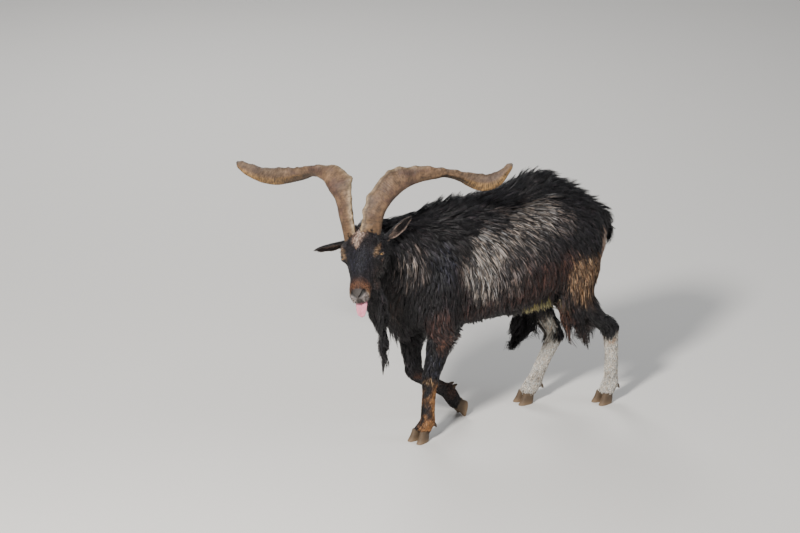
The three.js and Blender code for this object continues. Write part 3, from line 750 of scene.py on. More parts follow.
# %% [markdown]
# ## The head, closer
# A head needs finer quads than a flank: at the lids, nostrils and lips a few millimetres matter.
# The net is divided once over the face, and once more round the eyes and the muzzle. Then the
# face is modelled as a sculptor would do it, with soft pushes and grooves in the skull's frame,
# the same on both sides: eye sockets, tear pits, cheek bones, the flat bridge of the nose, comma
# nostrils, the cleft lip and the line of the mouth.

# %% Finer quads on the face
def refine(mesh, chosen):
    """Divides the quads whose corners are all chosen, and gives the new net and its places."""
    bm = bmesh.new()
    bm.from_mesh(mesh)
    bm.verts.ensure_lookup_table()
    picked = [e for e in bm.edges if chosen[e.verts[0].index] and chosen[e.verts[1].index]]
    bmesh.ops.subdivide_edges(bm, edges=picked, cuts=1, use_grid_fill=True)
    bm.to_mesh(mesh)
    bm.free()
    fresh = Net(mesh)
    places = drawn(array(mesh.vertices, "co", 3))
    return fresh, places


skull = to_skull(points)
face = (skull[:, 0] > -20) & (abs(skull[:, 1]) < 84) & (abs(skull[:, 2] + 10) < 100)
face &= np.isin(homes, [NAMES.index("head"), NAMES.index("beard")]) & (skull[:, 2] > -84)
net, points = refine(wrapped, face)
skull = to_skull(points)
face = near(skull, (130, 0, 0), (170, 100, 92)) > 0.3
points = net.smooth(points, 3, share=0.5, back=0.5, where=face.astype(float))
wrapped.vertices.foreach_set("co", metres(points).ravel())

skull = to_skull(points)
close = (skull[:, 0] > 232) & (abs(skull[:, 1]) < 60) & (skull[:, 2] > -72) & (skull[:, 2] < 40)
for sign in SIDES.values():
    close |= np.linalg.norm(skull - EYE * (1, sign, 1), axis=1) < 34
net, points = refine(wrapped, close)
skull = to_skull(points)
close = (near(skull, (275, 0, -20), (44, 50, 50)) > 0.35).astype(float)
for sign in SIDES.values():
    close = np.maximum(close, near(skull, EYE * (1, sign, 1), 30) > 0.3)
points = net.smooth(points, 3, share=0.5, back=0.5, where=close)
print("skin after refining:", len(points), "points")


# %% Soft steps, and how far a line is
def smoothstep(low, high, values):
    share = np.clip((values - low) / (high - low), 0, 1)
    return share * share * (3 - 2 * share)


def to_line(places, line):
    """How far each place is from a line through corners, and how far along the nearest one is."""
    best = np.full(len(places), 1e9)
    along = np.zeros(len(places))
    line = np.asarray(line, float)
    for i, (a, b) in enumerate(zip(line, line[1:])):
        share = np.clip(((places - a) @ (b - a)) / ((b - a) @ (b - a)), 0, 1)
        off = np.linalg.norm(places - a - share[:, None] * (b - a), axis=1)
        along = np.where(off < best, (i + share) / (len(line) - 1), along)
        best = np.minimum(best, off)
    return best, along


print("a quarter of the way up a soft step:", float(smoothstep(0, 1, 0.25)))


# %% What is pushed, and the lines of the face
# middle, reach and push of each soft change, for the goat's left side, in the skull's frame
PUSHES = [
    ((136, 46, 12), (16, 14, 11), (0, -4.0, 0)),  # tear pit
    ((150, 46, -12), (34, 14, 8), (0, 3.4, 0)),  # cheek bone
    ((52, 66, -32), (34, 22, 26), (0, 4.0, 0)),  # chewing muscle
    ((120, 58, -48), (30, 16, 18), (0, -3.5, 0)),  # hollow before it
    ((92, 56, 44), (22, 12, 9), (0, 3.0, 3.0)),  # brow
    ((205, 28, 20), (50, 12, 14), (0, -3.4, -0.5)),  # side of the nose
    ((232, 34, -16), (18, 10, 8), (0, -2.2, 0)),  # before the lips
    ((258, 32, -33), (18, 10, 7), (0, 2.6, 0)),  # flew of the upper lip
    ((277, 24, -3), (9, 8, 8), (2.6, 3.0, 1.6)),  # wing of the nostril
    ((283, 11, -4), (9, 8, 6), (1.8, 0.0, 1.4)),  # pad between the nostrils
    ((262, 16, -56), (12, 12, 6), (2.5, 1.0, -1.5)),  # lower lip
    ((70, 26, 66), (26, 16, 12), (0, 0, 2.4)),  # frontal bump
]
NOSTRIL = [(268, 29, 6), (277, 23, 1), (284, 13, -3), (287, 7, -6)]
MOUTH = [(206, 44, -36), (232, 40, -39), (258, 34, -42), (275, 22, -44), (283, 0, -44)]
EYE_AXIS, EYE_FISSURE = (0.50, 0.83, 0.26), (0.77, -0.54, 0.32)
LID_ANGLES = (58, 20)  # half the opening, along and across the lids, in degrees
print("pushes on each side:", len(PUSHES))


# %% The opening of the eye
def eye_frame(sign):
    """The eye's middle, where it looks, the line of its lids and the way across them."""
    axis = unit(np.array(EYE_AXIS) * (1, sign, 1))
    line = np.array(EYE_FISSURE) * (1, sign, 1)
    line = unit(line - axis * (line @ axis))
    return EYE * (1, sign, 1), axis, line, np.cross(axis, line) * sign


LID_THICK, LID_THINS, EYE_INSIDE = 1.9, 0.8, 3.5  # mm: over the ball, and the skin behind it
LIDS_END, NEAR_EYE = 2.3, 40  # where they are the face again, in openings and in mm
FOLD_DEPTH, FOLD_AT, FOLD_HALF = 1.3, 1.75, 0.16  # mm, and in openings


def lids(skull, sign):
    """Opens the skin over the eye, and swells it to lids around."""
    middle, axis, line, over = eye_frame(sign)
    off = skull - middle
    far = np.linalg.norm(off, axis=1)
    ahead = off @ axis
    angles = [np.degrees(np.arctan2(off @ v, ahead)) for v in (line, over)]
    rim = np.hypot(angles[0] / LID_ANGLES[0], (angles[1] - 2) / LID_ANGLES[1])
    rim = np.where(ahead > 0, rim, 9)
    lid = EYE_RADIUS + LID_THICK - LID_THINS * smoothstep(1.3, 2.0, rim)
    wanted = np.where(rim < 1, EYE_RADIUS - EYE_INSIDE,
                      lid + (far - lid) * smoothstep(1.35, LIDS_END, rim))
    wanted = np.where((rim < LIDS_END) & (far < NEAR_EYE), wanted, far)
    # a fold above the upper lid
    fold = FOLD_DEPTH * np.exp(-((rim - FOLD_AT) / FOLD_HALF) ** 2)
    wanted -= fold * (angles[1] > 0) * (far < 34)
    return middle + off * (wanted / np.maximum(far, 1e-6))[:, None]


print("the left eye looks", eye_frame(SIDES["left"])[1].round(2), "in the skull's frame")


# %% The pushes and the lids
face_homes = home_of(metres(points))
flesh_of_head = np.isin(face_homes, [NAMES.index("head"), NAMES.index("beard")])
skull = to_skull(points)
wrapped.vertices.foreach_set("co", metres(points).ravel())
wrapped.update()
facing = normals_of(wrapped) @ SKULL
for sign in SIDES.values():
    mirror = np.array([1, sign, 1])
    for middle, reach, push in PUSHES:
        share = near(skull, mirror * middle, reach) * flesh_of_head
        skull = skull + share[:, None] * (mirror * push)
    skull = np.where(flesh_of_head[:, None], lids(skull, sign), skull)
print("points of the head:", int(flesh_of_head.sum()))


# %% Nostrils, mouth, and where skin is bare
NOSE_PAD, PAD_REACH = (274, 0, 7), (21, 30, 17)
LID_SKIN, NOSTRIL_SKIN, LIP_SKIN = 1.28, 8, 4  # how far bare skin goes from each opening
NOSTRIL_HALF, NOSTRIL_NARROWS, NOSTRIL_PUSH = 7.8, 4.6, (10.5, 3.5, -1.0)  # mm, as the next ones
WING_OFF, WING_HALF, WING_HEIGHT = 2.4, 1.8, 1.1
LINE_HALF, LINE_DEPTH = 2.2, 4.2
LIPS_OFF, LIPS_HALF, LIPS_HEIGHT = 5.0, 2.6, 1.3
CLEFT, CLEFT_HALF, CLEFT_PUSH = [(289, 0, -17), (286, 0, -40)], 1.9, (2.0, 0, 0)


def on_skin(line):
    """The points of the skin nearest to a line's corners."""
    return [skull[((skull - corner) ** 2).sum(1).argmin()] for corner in line]


def along_line(off, half):
    """1 on a line and softly less beside it, on the head alone."""
    return np.exp(-(off / half) ** 2) * flesh_of_head


# hollows says where painted shade darkens the skin's colour: the nostrils, the line of the mouth
# and the cleft of the lip
hollows, bare = np.zeros(len(skull)), near(skull, NOSE_PAD, PAD_REACH) > 0.42
for sign in SIDES.values():
    mirror = np.array([1, sign, 1])
    middle, axis, line, over = eye_frame(sign)
    off = skull - middle
    rim = np.hypot(*(np.degrees(np.arctan2(off @ v, off @ axis)) / angle
                     for v, angle in zip((line, over), LID_ANGLES)))
    bare |= (rim < LID_SKIN) & (off @ axis > 0) & (np.linalg.norm(off, axis=1) < 30)
    off, along = to_line(skull, on_skin(mirror * NOSTRIL))
    half = NOSTRIL_HALF - NOSTRIL_NARROWS * along
    hole, wing = along_line(off, half), along_line(off - half - WING_OFF, WING_HALF)
    hollows = np.maximum(hollows, np.exp(-(off / half) ** 4))
    bare |= off < NOSTRIL_SKIN
    skull = skull - hole[:, None] * (mirror * NOSTRIL_PUSH)
    skull = skull + wing[:, None] * facing * WING_HEIGHT
    off, along = to_line(skull, on_skin(mirror * MOUTH))
    groove, lips = along_line(off, LINE_HALF), along_line(off - LIPS_OFF, LIPS_HALF)
    hollows = np.maximum(hollows, 0.85 * along_line(off, 2.6))
    bare |= (off < LIP_SKIN) & (skull[:, 0] > 250)
    skull = skull - groove[:, None] * facing * LINE_DEPTH + lips[:, None] * facing * LIPS_HEIGHT
off, _ = to_line(skull, CLEFT)
hollows = np.maximum(hollows, 0.7 * along_line(off, 1.8)) * flesh_of_head
bare &= flesh_of_head
skull = skull - along_line(off, CLEFT_HALF)[:, None] * CLEFT_PUSH
points = np.where(flesh_of_head[:, None], in_skull(skull), points)
wrapped.vertices.foreach_set("co", metres(points).ravel())
wrapped.update()
print("points of bare skin:", int(bare.sum()), "in hollows:", int((hollows > 0.5).sum()))


# %% [markdown]
# ## The lie of the hair
# Hair lies like water that runs over the animal: back along the spine, down over the ribs, down
# the limbs, forwards at the foot of the neck. Combing it by hand would be the usual way. Here a
# list of places says which way it lies there, and every point of the skin takes the mean of the
# places near it. At each point the direction is then laid flat on the skin.

# %% Places of the lie
# place, reach, direction, and whether it is mirrored to the other side
LIE = [
    ((-330, 20, 850), 80, (0.90, 0.25, 0.15), True),
    ((-160, 20, 860), 90, (0.94, 0.2, 0.05), True), ((0, 15, 890), 80, (0.93, 0.1, 0.25), True),
    ((90, 12, 900), 70, (0.94, 0.1, 0.3), True), ((180, 15, 860), 70, (0.95, 0.1, 0.0), True),
    ((270, 20, 780), 70, (0.9, 0.1, -0.35), True),
    ((-350, 100, 780), 90, (0.70, 0.2, -0.75), True),
    ((-200, 110, 800), 90, (0.80, 0.2, -0.55), True),
    ((-40, 120, 800), 90, (0.84, 0.15, -0.50), True),
    ((80, 130, 790), 90, (0.84, 0.1, -0.50), True),
    ((190, 120, 770), 80, (0.78, 0.1, -0.60), True), ((-380, 150, 640), 90, (0.10, 0, -1), True),
    ((-240, 160, 690), 80, (0.32, 0, -0.95), True),
    ((-120, 170, 690), 80, (0.45, 0, -0.90), True), ((0, 175, 690), 80, (0.50, 0, -0.85), True),
    ((110, 165, 680), 70, (0.42, 0, -0.90), True), ((-240, 165, 560), 80, (0.0, 0, -1), True),
    ((-100, 175, 560), 80, (0.05, 0, -1), True), ((30, 170, 570), 80, (0.12, 0, -1), True),
    ((90, 155, 470), 70, (-0.05, 0, -1), True), ((-240, 150, 460), 80, (-0.05, -0.2, -1), True),
    ((-60, 150, 450), 80, (0, -0.25, -1), True), ((-380, 150, 500), 70, (-0.02, 0, -1), True),
    ((-470, 110, 560), 70, (-0.15, -0.1, -1), True),
    ((250, 120, 690), 80, (0.52, 0, -0.85), True), ((330, 80, 680), 70, (0.45, 0, -0.9), True),
    ((240, 140, 600), 80, (0.25, 0, -1), True), ((215, 150, 500), 70, (0.1, 0, -1), True),
    ((340, 50, 560), 80, (0.1, -0.2, -1), True), ((-120, 30, 402), 90, (1, 0, -0.1), True),
    ((40, 20, 412), 70, (0.9, 0, -0.3), True), ((-320, 30, 402), 90, (1, 0, -0.1), True),
    ((-560, 0, 640), 70, (-0.1, 0, -1), False), ((-540, 0, 500), 80, (0.1, 0, -1), False),
    ((-520, -120, 760), 60, (0.12, 0, -1), False), ((-540, -130, 690), 60, (-0.2, 0, -1), False),
    ((-500, -130, 620), 60, (-0.36, 0, -0.94), False),
    ((-450, -130, 740), 60, (0.3, 0, -0.95), False),
    ((-450, -140, 650), 60, (-0.1, 0, -1), False), ((-560, 60, 700), 70, (0, 0, -1), False),
    ((-480, 110, 700), 80, (0.15, 0, -1), False), ((-560, -40, 880), 60, (0.6, 0.1, 0.1), False),
    ((-480, -20, 870), 70, (0.8, 0.1, 0.0), False),
    ((-520, 60, 820), 60, (0.5, 0.4, -0.6), False),
    ((-500, -90, 830), 60, (0.5, -0.3, -0.6), False),
    ((184, -116, 380), 60, (0.12, 0, -1), False), ((196, -126, 300), 50, (0.15, 0, -1), False),
    ((128, 102, 380), 60, (-0.2, 0, -1), False), ((90, 106, 260), 60, (-0.6, 0, -0.8), False),
    ((290, 0, 440), 60, (0, 0, -1), False), ((340, 0, 756), 30, (0.85, 0, -0.35), False),
    ((384, 0, 722), 28, (0.75, 0, -0.6), False), ((414, 0, 676), 26, (0.35, 0, -0.95), False),
    ((412, 0, 630), 26, (0.1, 0, -1), False), ((360, 36, 690), 26, (0.6, 0.3, -0.7), True),
]
# the same for the head, in the skull's frame
HEAD_LIE = [
    ((250, 0, 8), 36, (0.9, 0, -0.2), True), ((190, 0, 34), 40, (1, 0, -0.2), True),
    ((130, 0, 58), 40, (1, 0, -0.1), True), ((70, 0, 76), 34, (1, 0, 0.1), True),
    ((30, 0, 78), 26, (1, 0, 0.35), True), ((110, 40, 56), 26, (0.6, 0.6, -0.4), True),
    ((90, 66, 44), 24, (-0.4, 0.3, 0.5), True), ((60, 68, 10), 28, (-0.9, 0.1, -0.2), True),
    ((130, 56, 8), 24, (0.3, 0.2, -0.9), True), ((101, 68, -6), 22, (-0.2, 0, -1), True),
    ((60, 66, -30), 34, (-0.6, 0, -0.8), True), ((150, 48, -12), 30, (-0.1, 0, -1), True),
    ((200, 38, 0), 30, (0.5, 0.1, -0.8), True), ((240, 34, -20), 24, (0.3, 0, -0.9), True),
    ((-10, 64, 20), 34, (-0.9, 0, -0.3), True), ((-10, 60, -40), 40, (-0.4, 0, -0.9), True),
    ((-20, 20, 60), 34, (-0.9, 0.1, 0.2), True), ((100, 30, -66), 40, (-0.2, 0, -1), True),
    ((180, 20, -56), 36, (-0.1, 0, -1), True), ((250, 10, -58), 24, (0.2, 0, -1), True),
    ((286, 0, -30), 14, (0.1, 0, -1), True),
]
print("places of the lie:", len(LIE) + len(HEAD_LIE))


# %% Which way it lies
LEG_REACH, FOOT_REACH, BEARD_REACH = 46, 30, 60  # mm
FAR_SHARE = 1e-4  # what a place still counts outside its reach


def lie_at(places):
    """The direction in which hair lies at each place, of length one."""
    rows = [(np.array(at, float), reach, np.array(way, float), both)
            for at, reach, way, both in LIE]
    for at, reach, way, both in HEAD_LIE:
        for sign in (1, -1) if both and at[1] else (1,):
            mirror = np.array([1, sign, 1])
            rows.append((in_skull(mirror * at), reach, SKULL @ (mirror * way), False))
    for name, joints in LEGS.items():
        for a, b in list(zip(joints, joints[1:]))[2 if name.startswith("fore") else 3:]:
            for share in (0.0, 0.5):
                at = np.array(a) + share * (np.array(b) - a)
                rows.append((at, LEG_REACH, unit(np.array(b, float) - a), False))
        rows.append((np.array(joints[-1], float), FOOT_REACH,
                     unit(np.subtract(joints[-1], joints[-2])), False))
    jaw = in_skull((185, 4, -44))
    for down, back in ((0, 0.15), (60, 0.2), (130, 0.2), (210, 0.2), (290, 0.2)):
        at = jaw + from_head(-down * 0.24, down * 0.18, 0) * (1, 1, 0) - (0, 0, down)
        way = unit(from_head(-back, 0.04, 0) * (1, 1, 0) - (0, 0, 1))
        rows.append((at, BEARD_REACH, way, False))
    total = np.zeros((len(places), 3))
    for at, reach, way, both in rows:
        for sign in (1, -1) if both and at[1] else (1,):
            mirror = np.array([1, sign, 1])
            off = ((places - at * mirror) ** 2).sum(1) / reach ** 2
            share = np.exp(-off) + FAR_SHARE / (1 + off) ** 2
            total += share[:, None] * unit(way * mirror)
    return unit(total)


BACK = np.array([[90.0, 0, 900]])
print("on the back hair lies", lie_at(BACK)[0].round(2))

# %% [markdown]
# ## The markings
# A dark goat isn't one black. Each place has two colours of hair, a dark and a light one, and a
# share of the light ones. Where the light is silver and their share is high, the coat looks
# grizzled, strand by strand. On the black coat the light strands are painted glints of light, and
# the bluish look carries a painted reflection of the sky. The list below lays soft spots over a
# black coat: silver on neck, ribs and loins, red brown on the flank, gold at the back of the
# thigh, white below the hocks. Skin and locks read the same list, so a parting in the coat never
# shows another colour. The spots' edges are made uneven, as real markings are.

# %% The colours
# a dark colour, a light one, and the share of the light one
LOOKS = {
    # painted light: in the black look the light strands are glints of light, and both colours of
    # the bluish look carry a painted reflection of the sky
    "black": (srgb(17, 15, 19), srgb(74, 66, 72), 0.24),
    "jet": (srgb(11, 10, 13), srgb(40, 38, 46), 0.20),
    "sky_sheen_black": (srgb(15, 15, 22), srgb(70, 72, 90), 0.30),
    "silver": (srgb(38, 34, 36), srgb(192, 184, 177), 0.52),
    "grey": (srgb(28, 25, 28), srgb(146, 135, 131), 0.42),
    "red": (srgb(38, 25, 25), srgb(108, 76, 67), 0.46),
    "rust": (srgb(46, 28, 21), srgb(132, 86, 60), 0.52),
    "gold": (srgb(80, 59, 44), srgb(188, 154, 118), 0.48),
    "tan": (srgb(112, 84, 58), srgb(208, 172, 128), 0.62),
    "white": (srgb(198, 188, 174), srgb(240, 235, 226), 0.80),
    "cream": (srgb(136, 108, 94), srgb(222, 198, 182), 0.62),
    "pink": (srgb(106, 80, 70), srgb(194, 162, 144), 0.58),
    "yellow": (srgb(112, 102, 62), srgb(206, 198, 138), 0.64),
    "brown": (srgb(30, 22, 19), srgb(86, 64, 53), 0.42),
    "orange": (srgb(116, 79, 47), srgb(204, 148, 92), 0.62),
    "muzzle": (srgb(66, 43, 33), srgb(144, 100, 72), 0.50),
    "nose": (srgb(33, 29, 28), srgb(72, 63, 57), 0.50),
    "lip": (srgb(84, 74, 72), srgb(204, 192, 186), 0.50),
}
LOOK = {name: np.array([*dark, *light, share]) for name, (dark, light, share) in LOOKS.items()}
print("looks:", *LOOK)


# %% Where they are on the body
# place, reach, look, strength, and whether it is on both sides
MARKS = [
    ((0, 0, 900), (220, 60, 36), "black", 1.0, True),
    # the flank's red brown, and the grizzled saddle over ribs and loins
    ((-60, 172, 580), (90, 60, 100), "red", 0.8, True),
    ((70, 170, 560), (110, 60, 100), "red", 0.8, True),
    ((130, 160, 610), (70, 60, 60), "red", 0.8, True),
    ((150, 155, 510), (50, 50, 70), "brown", 0.8, True),
    ((-230, 160, 510), (110, 60, 50), "red", 0.6, True),
    ((-310, 150, 660), (40, 60, 110), "brown", 0.5, True),
    ((-120, 105, 815), (110, 55, 46), "grey", 0.8, True),
    ((15, 118, 808), (100, 60, 52), "silver", 0.85, True),
    ((115, 130, 770), (72, 60, 60), "grey", 0.85, True),
    ((-60, 140, 762), (110, 60, 58), "silver", 0.75, True),
    ((-205, 135, 745), (80, 60, 60), "silver", 0.8, True),
    ((-225, 152, 685), (80, 60, 80), "silver", 1.0, True),
    ((-205, 164, 600), (66, 60, 64), "silver", 0.8, True),
    ((-115, 166, 640), (62, 60, 84), "grey", 0.8, True),
    ((-10, 160, 700), (70, 60, 50), "grey", 0.5, True),
    ((-390, 140, 700), (60, 60, 90), "sky_sheen_black", 0.9, True),
    ((-390, 150, 560), (50, 60, 90), "black", 0.9, True),
    ((-560, -30, 620), (60, 70, 110), "brown", 0.6, False),
    ((-500, -126, 728), (60, 60, 82), "grey", 0.95, False),
    ((-508, -126, 736), (32, 50, 46), "silver", 0.5, False),
    ((-468, -128, 680), (38, 50, 48), "grey", 0.8, False),
    ((-500, 110, 690), (52, 60, 78), "silver", 0.8, False),
    # the thighs
    ((228, 150, 578), (82, 54, 56), "gold", 0.95, True),
    ((214, 152, 522), (60, 54, 54), "gold", 0.8, True),
    ((300, 112, 568), (46, 50, 54), "gold", 0.85, True),
    ((250, 130, 700), (100, 60, 50), "black", 1.0, True),
    ((342, 76, 642), (36, 34, 58), "cream", 1.0, True),
    ((-392, 135, 468), (56, 50, 66), "red", 0.85, True),
    ((-372, 132, 380), (34, 40, 46), "rust", 0.6, True),
    ((90, 24, 406), (66, 60, 42), "yellow", 0.9, True),
    ((40, 112, 446), (90, 50, 34), "yellow", 0.9, True),
    ((-230, 80, 410), (110, 60, 26), "pink", 0.6, True),
    ((-80, 80, 404), (80, 60, 22), "pink", 0.4, True),
    ((140, -136, 380), (44, 40, 70), "rust", 0.75, False),
    ((200, -130, 340), (40, 40, 80), "brown", 0.7, False),
    ((120, 104, 320), (80, 40, 120), "jet", 0.9, False),
    ((290, 0, 430), (60, 50, 90), "jet", 0.9, False),
    ((320, -110, 330), (60, 50, 44), "jet", 0.8, False),
]
print("marks on the body:", len(MARKS))


# %% Where they are on the legs
MARKS += [
    # left hind leg: dark down to the hock, white below it
    ((374, -84, 165), (56, 60, 100), "white", 1.0, False),
    ((356, -84, 60), (66, 60, 60), "white", 1.0, False),
    ((372, -90, 262), (20, 34, 22), "white", 0.9, False),
    ((364, -108, 243), (12, 16, 9), "orange", 0.5, False),
    # right hind leg: white up the front and the inside, black behind the hock
    ((150, 40, 285), (34, 30, 60), "white", 0.9, False),
    ((198, 42, 215), (44, 34, 44), "white", 0.95, False),
    ((168, 62, 150), (60, 56, 70), "white", 1.0, False),
    ((112, 60, 70), (66, 56, 60), "white", 0.95, False),
    ((168, 50, 318), (27, 26, 38), "white", 1.0, False),
    ((182, 50, 270), (25, 26, 42), "white", 1.0, False),
    ((188, 48, 222), (28, 24, 40), "white", 1.0, False),
    ((200, 98, 262), (50, 20, 60), "jet", 0.8, False),
    ((211, 46, 262), (11, 32, 28), "jet", 1.0, False),
    ((219, 48, 224), (9, 26, 26), "jet", 1.0, False),
    # left foreleg: black to the knee, tan knee, black stripe in front and orange behind
    ((-380, -84, 310), (50, 50, 60), "sky_sheen_black", 0.9, False),
    ((-426, -92, 226), (24, 28, 26), "tan", 0.85, False),
    ((-428, -80, 150), (16, 30, 62), "jet", 1.0, False),
    ((-388, -84, 145), (20, 44, 74), "orange", 0.9, False),
    ((-404, -60, 150), (20, 16, 60), "orange", 0.7, False),
    ((-414, -88, 62), (36, 44, 26), "orange", 0.9, False),
    ((-430, -80, 92), (12, 14, 22), "jet", 0.9, False),
    ((-440, -98, 56), (12, 12, 20), "jet", 0.6, False),
    # right foreleg: black, brown at the knee
    ((-382, 84, 310), (50, 50, 70), "black", 0.9, False),
    ((-376, 52, 206), (24, 22, 26), "rust", 0.8, False),
    ((-300, 73, 144), (60, 40, 44), "brown", 0.9, False),
    ((-236, 74, 100), (34, 40, 30), "rust", 0.5, False),
]
print("marks with the legs':", len(MARKS))


# %% Where they are on the head
# the same, in the skull's frame
HEAD_MARKS = [
    ((100, 0, 0), (170, 110, 110), "black", 1.0, False),
    ((150, 0, 50), (70, 44, 30), "sky_sheen_black", 0.8, False),
    ((160, 50, -30), (60, 20, 36), "brown", 0.6, True),
    ((36, -4, 84), (26, 32, 22), "cream", 1.0, False),
    ((68, -8, 80), (24, 20, 16), "cream", 0.95, False),
    ((94, -2, 76), (15, 9, 14), "cream", 0.9, False),
    ((104, 62, 47), (19, 12, 8), "tan", 0.55, True), ((120, 58, 39), (9, 9, 9), "tan", 0.5, True),
    ((82, 67, 38), (13, 12, 9), "rust", 0.8, True), ((106, 68, -4), (9, 9, 5), "pink", 0.8, True),
    ((234, 6, 16), (17, 44, 30), "rust", 0.55, False),
    ((248, 2, 8), (15, 46, 30), "muzzle", 0.95, False),
    ((232, 36, -14), (18, 14, 24), "muzzle", 0.8, True),
    ((262, 34, -18), (12, 14, 18), "tan", 0.7, True),
    ((276, 0, 6), (17, 27, 15), "nose", 1.0, False),
    ((284, 0, -24), (18, 34, 17), "lip", 0.72, False),
    ((276, 25, -20), (17, 14, 20), "lip", 1.0, True),
    ((266, 0, -54), (18, 26, 9), "lip", 0.7, False),
    ((291, 2, -22), (14, 12, 17), "nose", 0.95, False),
    ((-30, 0, -60), (60, 70, 60), "black", 0.8, False),
    ((225, 0, -110), (60, 50, 70), "black", 1.0, False),
]
print("marks on the head:", len(HEAD_MARKS))


# %% The look at a place
EDGE_OF_MARK, EDGE_OF_HEAD_MARK = (0.12, 0.62), (0.08, 0.66)  # where a spot's share sets in


def wander(places, size, seed):
    """A smooth, uneven value from about -1 to 1, that changes over about this size."""
    rng = np.random.default_rng(seed)
    ways = rng.normal(size=(9, 3)) * 2.2 / size
    return np.sin(places @ ways.T + rng.uniform(0, 2 * math.pi, 9)).sum(1) / 3.2


def looks_at(places, on_head):
    """Dark colour, light colour and share of the light one at each place, as seven numbers."""
    uneven = np.column_stack([wander(places, 60, seed) for seed in (11, 12, 13)]) * 13
    uneven += np.column_stack([wander(places, 17, seed) for seed in (14, 15, 16)]) * 5
    found = np.tile(LOOK["black"], (len(places), 1))
    off_head = places + uneven * (1 - 0.8 * on_head[:, None])
    for place, reach, look, strength, both in MARKS:
        share = near(off_head, place, reach)
        if both:
            share = np.maximum(share, near(off_head, other_side(place), reach))
        share = smoothstep(*EDGE_OF_MARK, share) * strength * (1 - on_head)
        found += share[:, None] * (LOOK[look] - found)
    skull = to_skull(places + uneven * 0.12)
    for place, reach, look, strength, both in HEAD_MARKS:
        share = near(skull, place, reach)
        if both:
            share = np.maximum(share, near(skull, other_side(place), reach))
        share = smoothstep(*EDGE_OF_HEAD_MARK, share) * strength * on_head
        found += share[:, None] * (LOOK[look] - found)
    return found


def mean_colour(looks):
    """What a look's two colours are, seen from far off."""
    return looks[:, :3] + looks[:, 6:7] * (looks[:, 3:6] - looks[:, :3])


print("mean colour on the back:", mean_colour(looks_at(BACK, np.zeros(1)))[0].round(3))


# %% The skin's own mesh, with its map and colours
homes = home_of(metres(points))
on_head = net.smooth(np.isin(homes, [NAMES.index("head")]).astype(float)[:, None], 3)[:, 0]
hair = hair_at(points, homes, net)
lie = net.smooth(lie_at(points), 2)
looks = looks_at(points, on_head)
# painted shade of the coat on the skin: darker where long hair lies over it, less on the face and
# under short hair, least on bare skin
COAT_SHADE_ON_SKIN = 0.6  # how bright the skin is beside the hair over it
UNDER_FACE, UNDER_SHORT, BARE = 0.6, 0.75, 0.95  # of the way to bare skin, and bare skin
# painted shade of the hair on the ears' skin
EAR_HAIR_SHADE_ON_SKIN = 0.8
# painted shade in the nostrils, the line of the mouth and the cleft of the lip
SHADE_IN_HOLLOWS = 0.93  # how much darker nostrils and the line of the mouth are


def tint_points(mesh, colours):
    layer = mesh.color_attributes.new(TINT, "FLOAT_COLOR", "POINT")
    layer.data.foreach_set("color", np.column_stack([colours, np.ones(len(colours))]).ravel())


def unwrap(made):
    """Lays the piece's surface out flat, in patches that don't overlap, as the map OFBake."""
    made.data.uv_layers.new(name="OFBake")
    bpy.ops.object.select_all(action="DESELECT")
    made.select_set(True)
    bpy.context.view_layer.objects.active = made
    bpy.ops.object.mode_set(mode="EDIT")
    bpy.ops.mesh.select_all(action="SELECT")
    bpy.ops.uv.smart_project(angle_limit=1.15, island_margin=0.002, scale_to_bounds=True)
    bpy.ops.object.mode_set(mode="OBJECT")


short = 1 - smoothstep(12, 30, hair[:, 0])
seen = np.maximum(bare, np.maximum(UNDER_FACE * on_head, UNDER_SHORT * short))
# the skin's colour with painted shade, from the coat over it and in the hollows
shade = (COAT_SHADE_ON_SKIN + (BARE - COAT_SHADE_ON_SKIN) * seen) * (1 - SHADE_IN_HOLLOWS * hollows)
tint_points(wrapped, mean_colour(looks) * shade[:, None])
for polygon in wrapped.polygons:
    polygon.use_smooth = True

skin_finish = Finish("short_coat_and_skin", Specular_IOR_Level=0.35)
hairs = skin_finish.noise(1.0, 4, 0.6, at=skin_finish.stretched((900, 900, 160)))
pores = skin_finish.noise(700, 3, 0.6)
skin_colour = skin_finish.mix(hairs * 0.6, skin_finish.tint(), srgb(12, 10, 10))
skin_finish.finish(skin_colour, roughness=0.5 + 0.25 * hairs, height=hairs + 0.4 * pores,
                   strength=0.4, distance=0.0012)
skin = new_object("skin", wrapped, skin_finish.material)
unwrap(skin)
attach(skin, "root")
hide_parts(*FLESH)
print("skin:", sum(len(p.vertices) - 2 for p in wrapped.polygons), "triangles")


# %% [markdown]
# ## Locks
# Hair particles would be the quick way, but only a mesh leaves Blender with the model. A lock here
# is a closed spike with three sides: wide enough to be seen, thin enough to look like hair. It
# starts on the skin and takes a few steps along the lie of the hair. After each step it is set on
# its own height over the nearest skin, unless the skin faces the way that the hair hangs: there it
# hangs free. Locks near each other share a leader and draw together towards its tip, which makes
# the tufts. All steps are taken for all locks of a piece at once, with arrays.

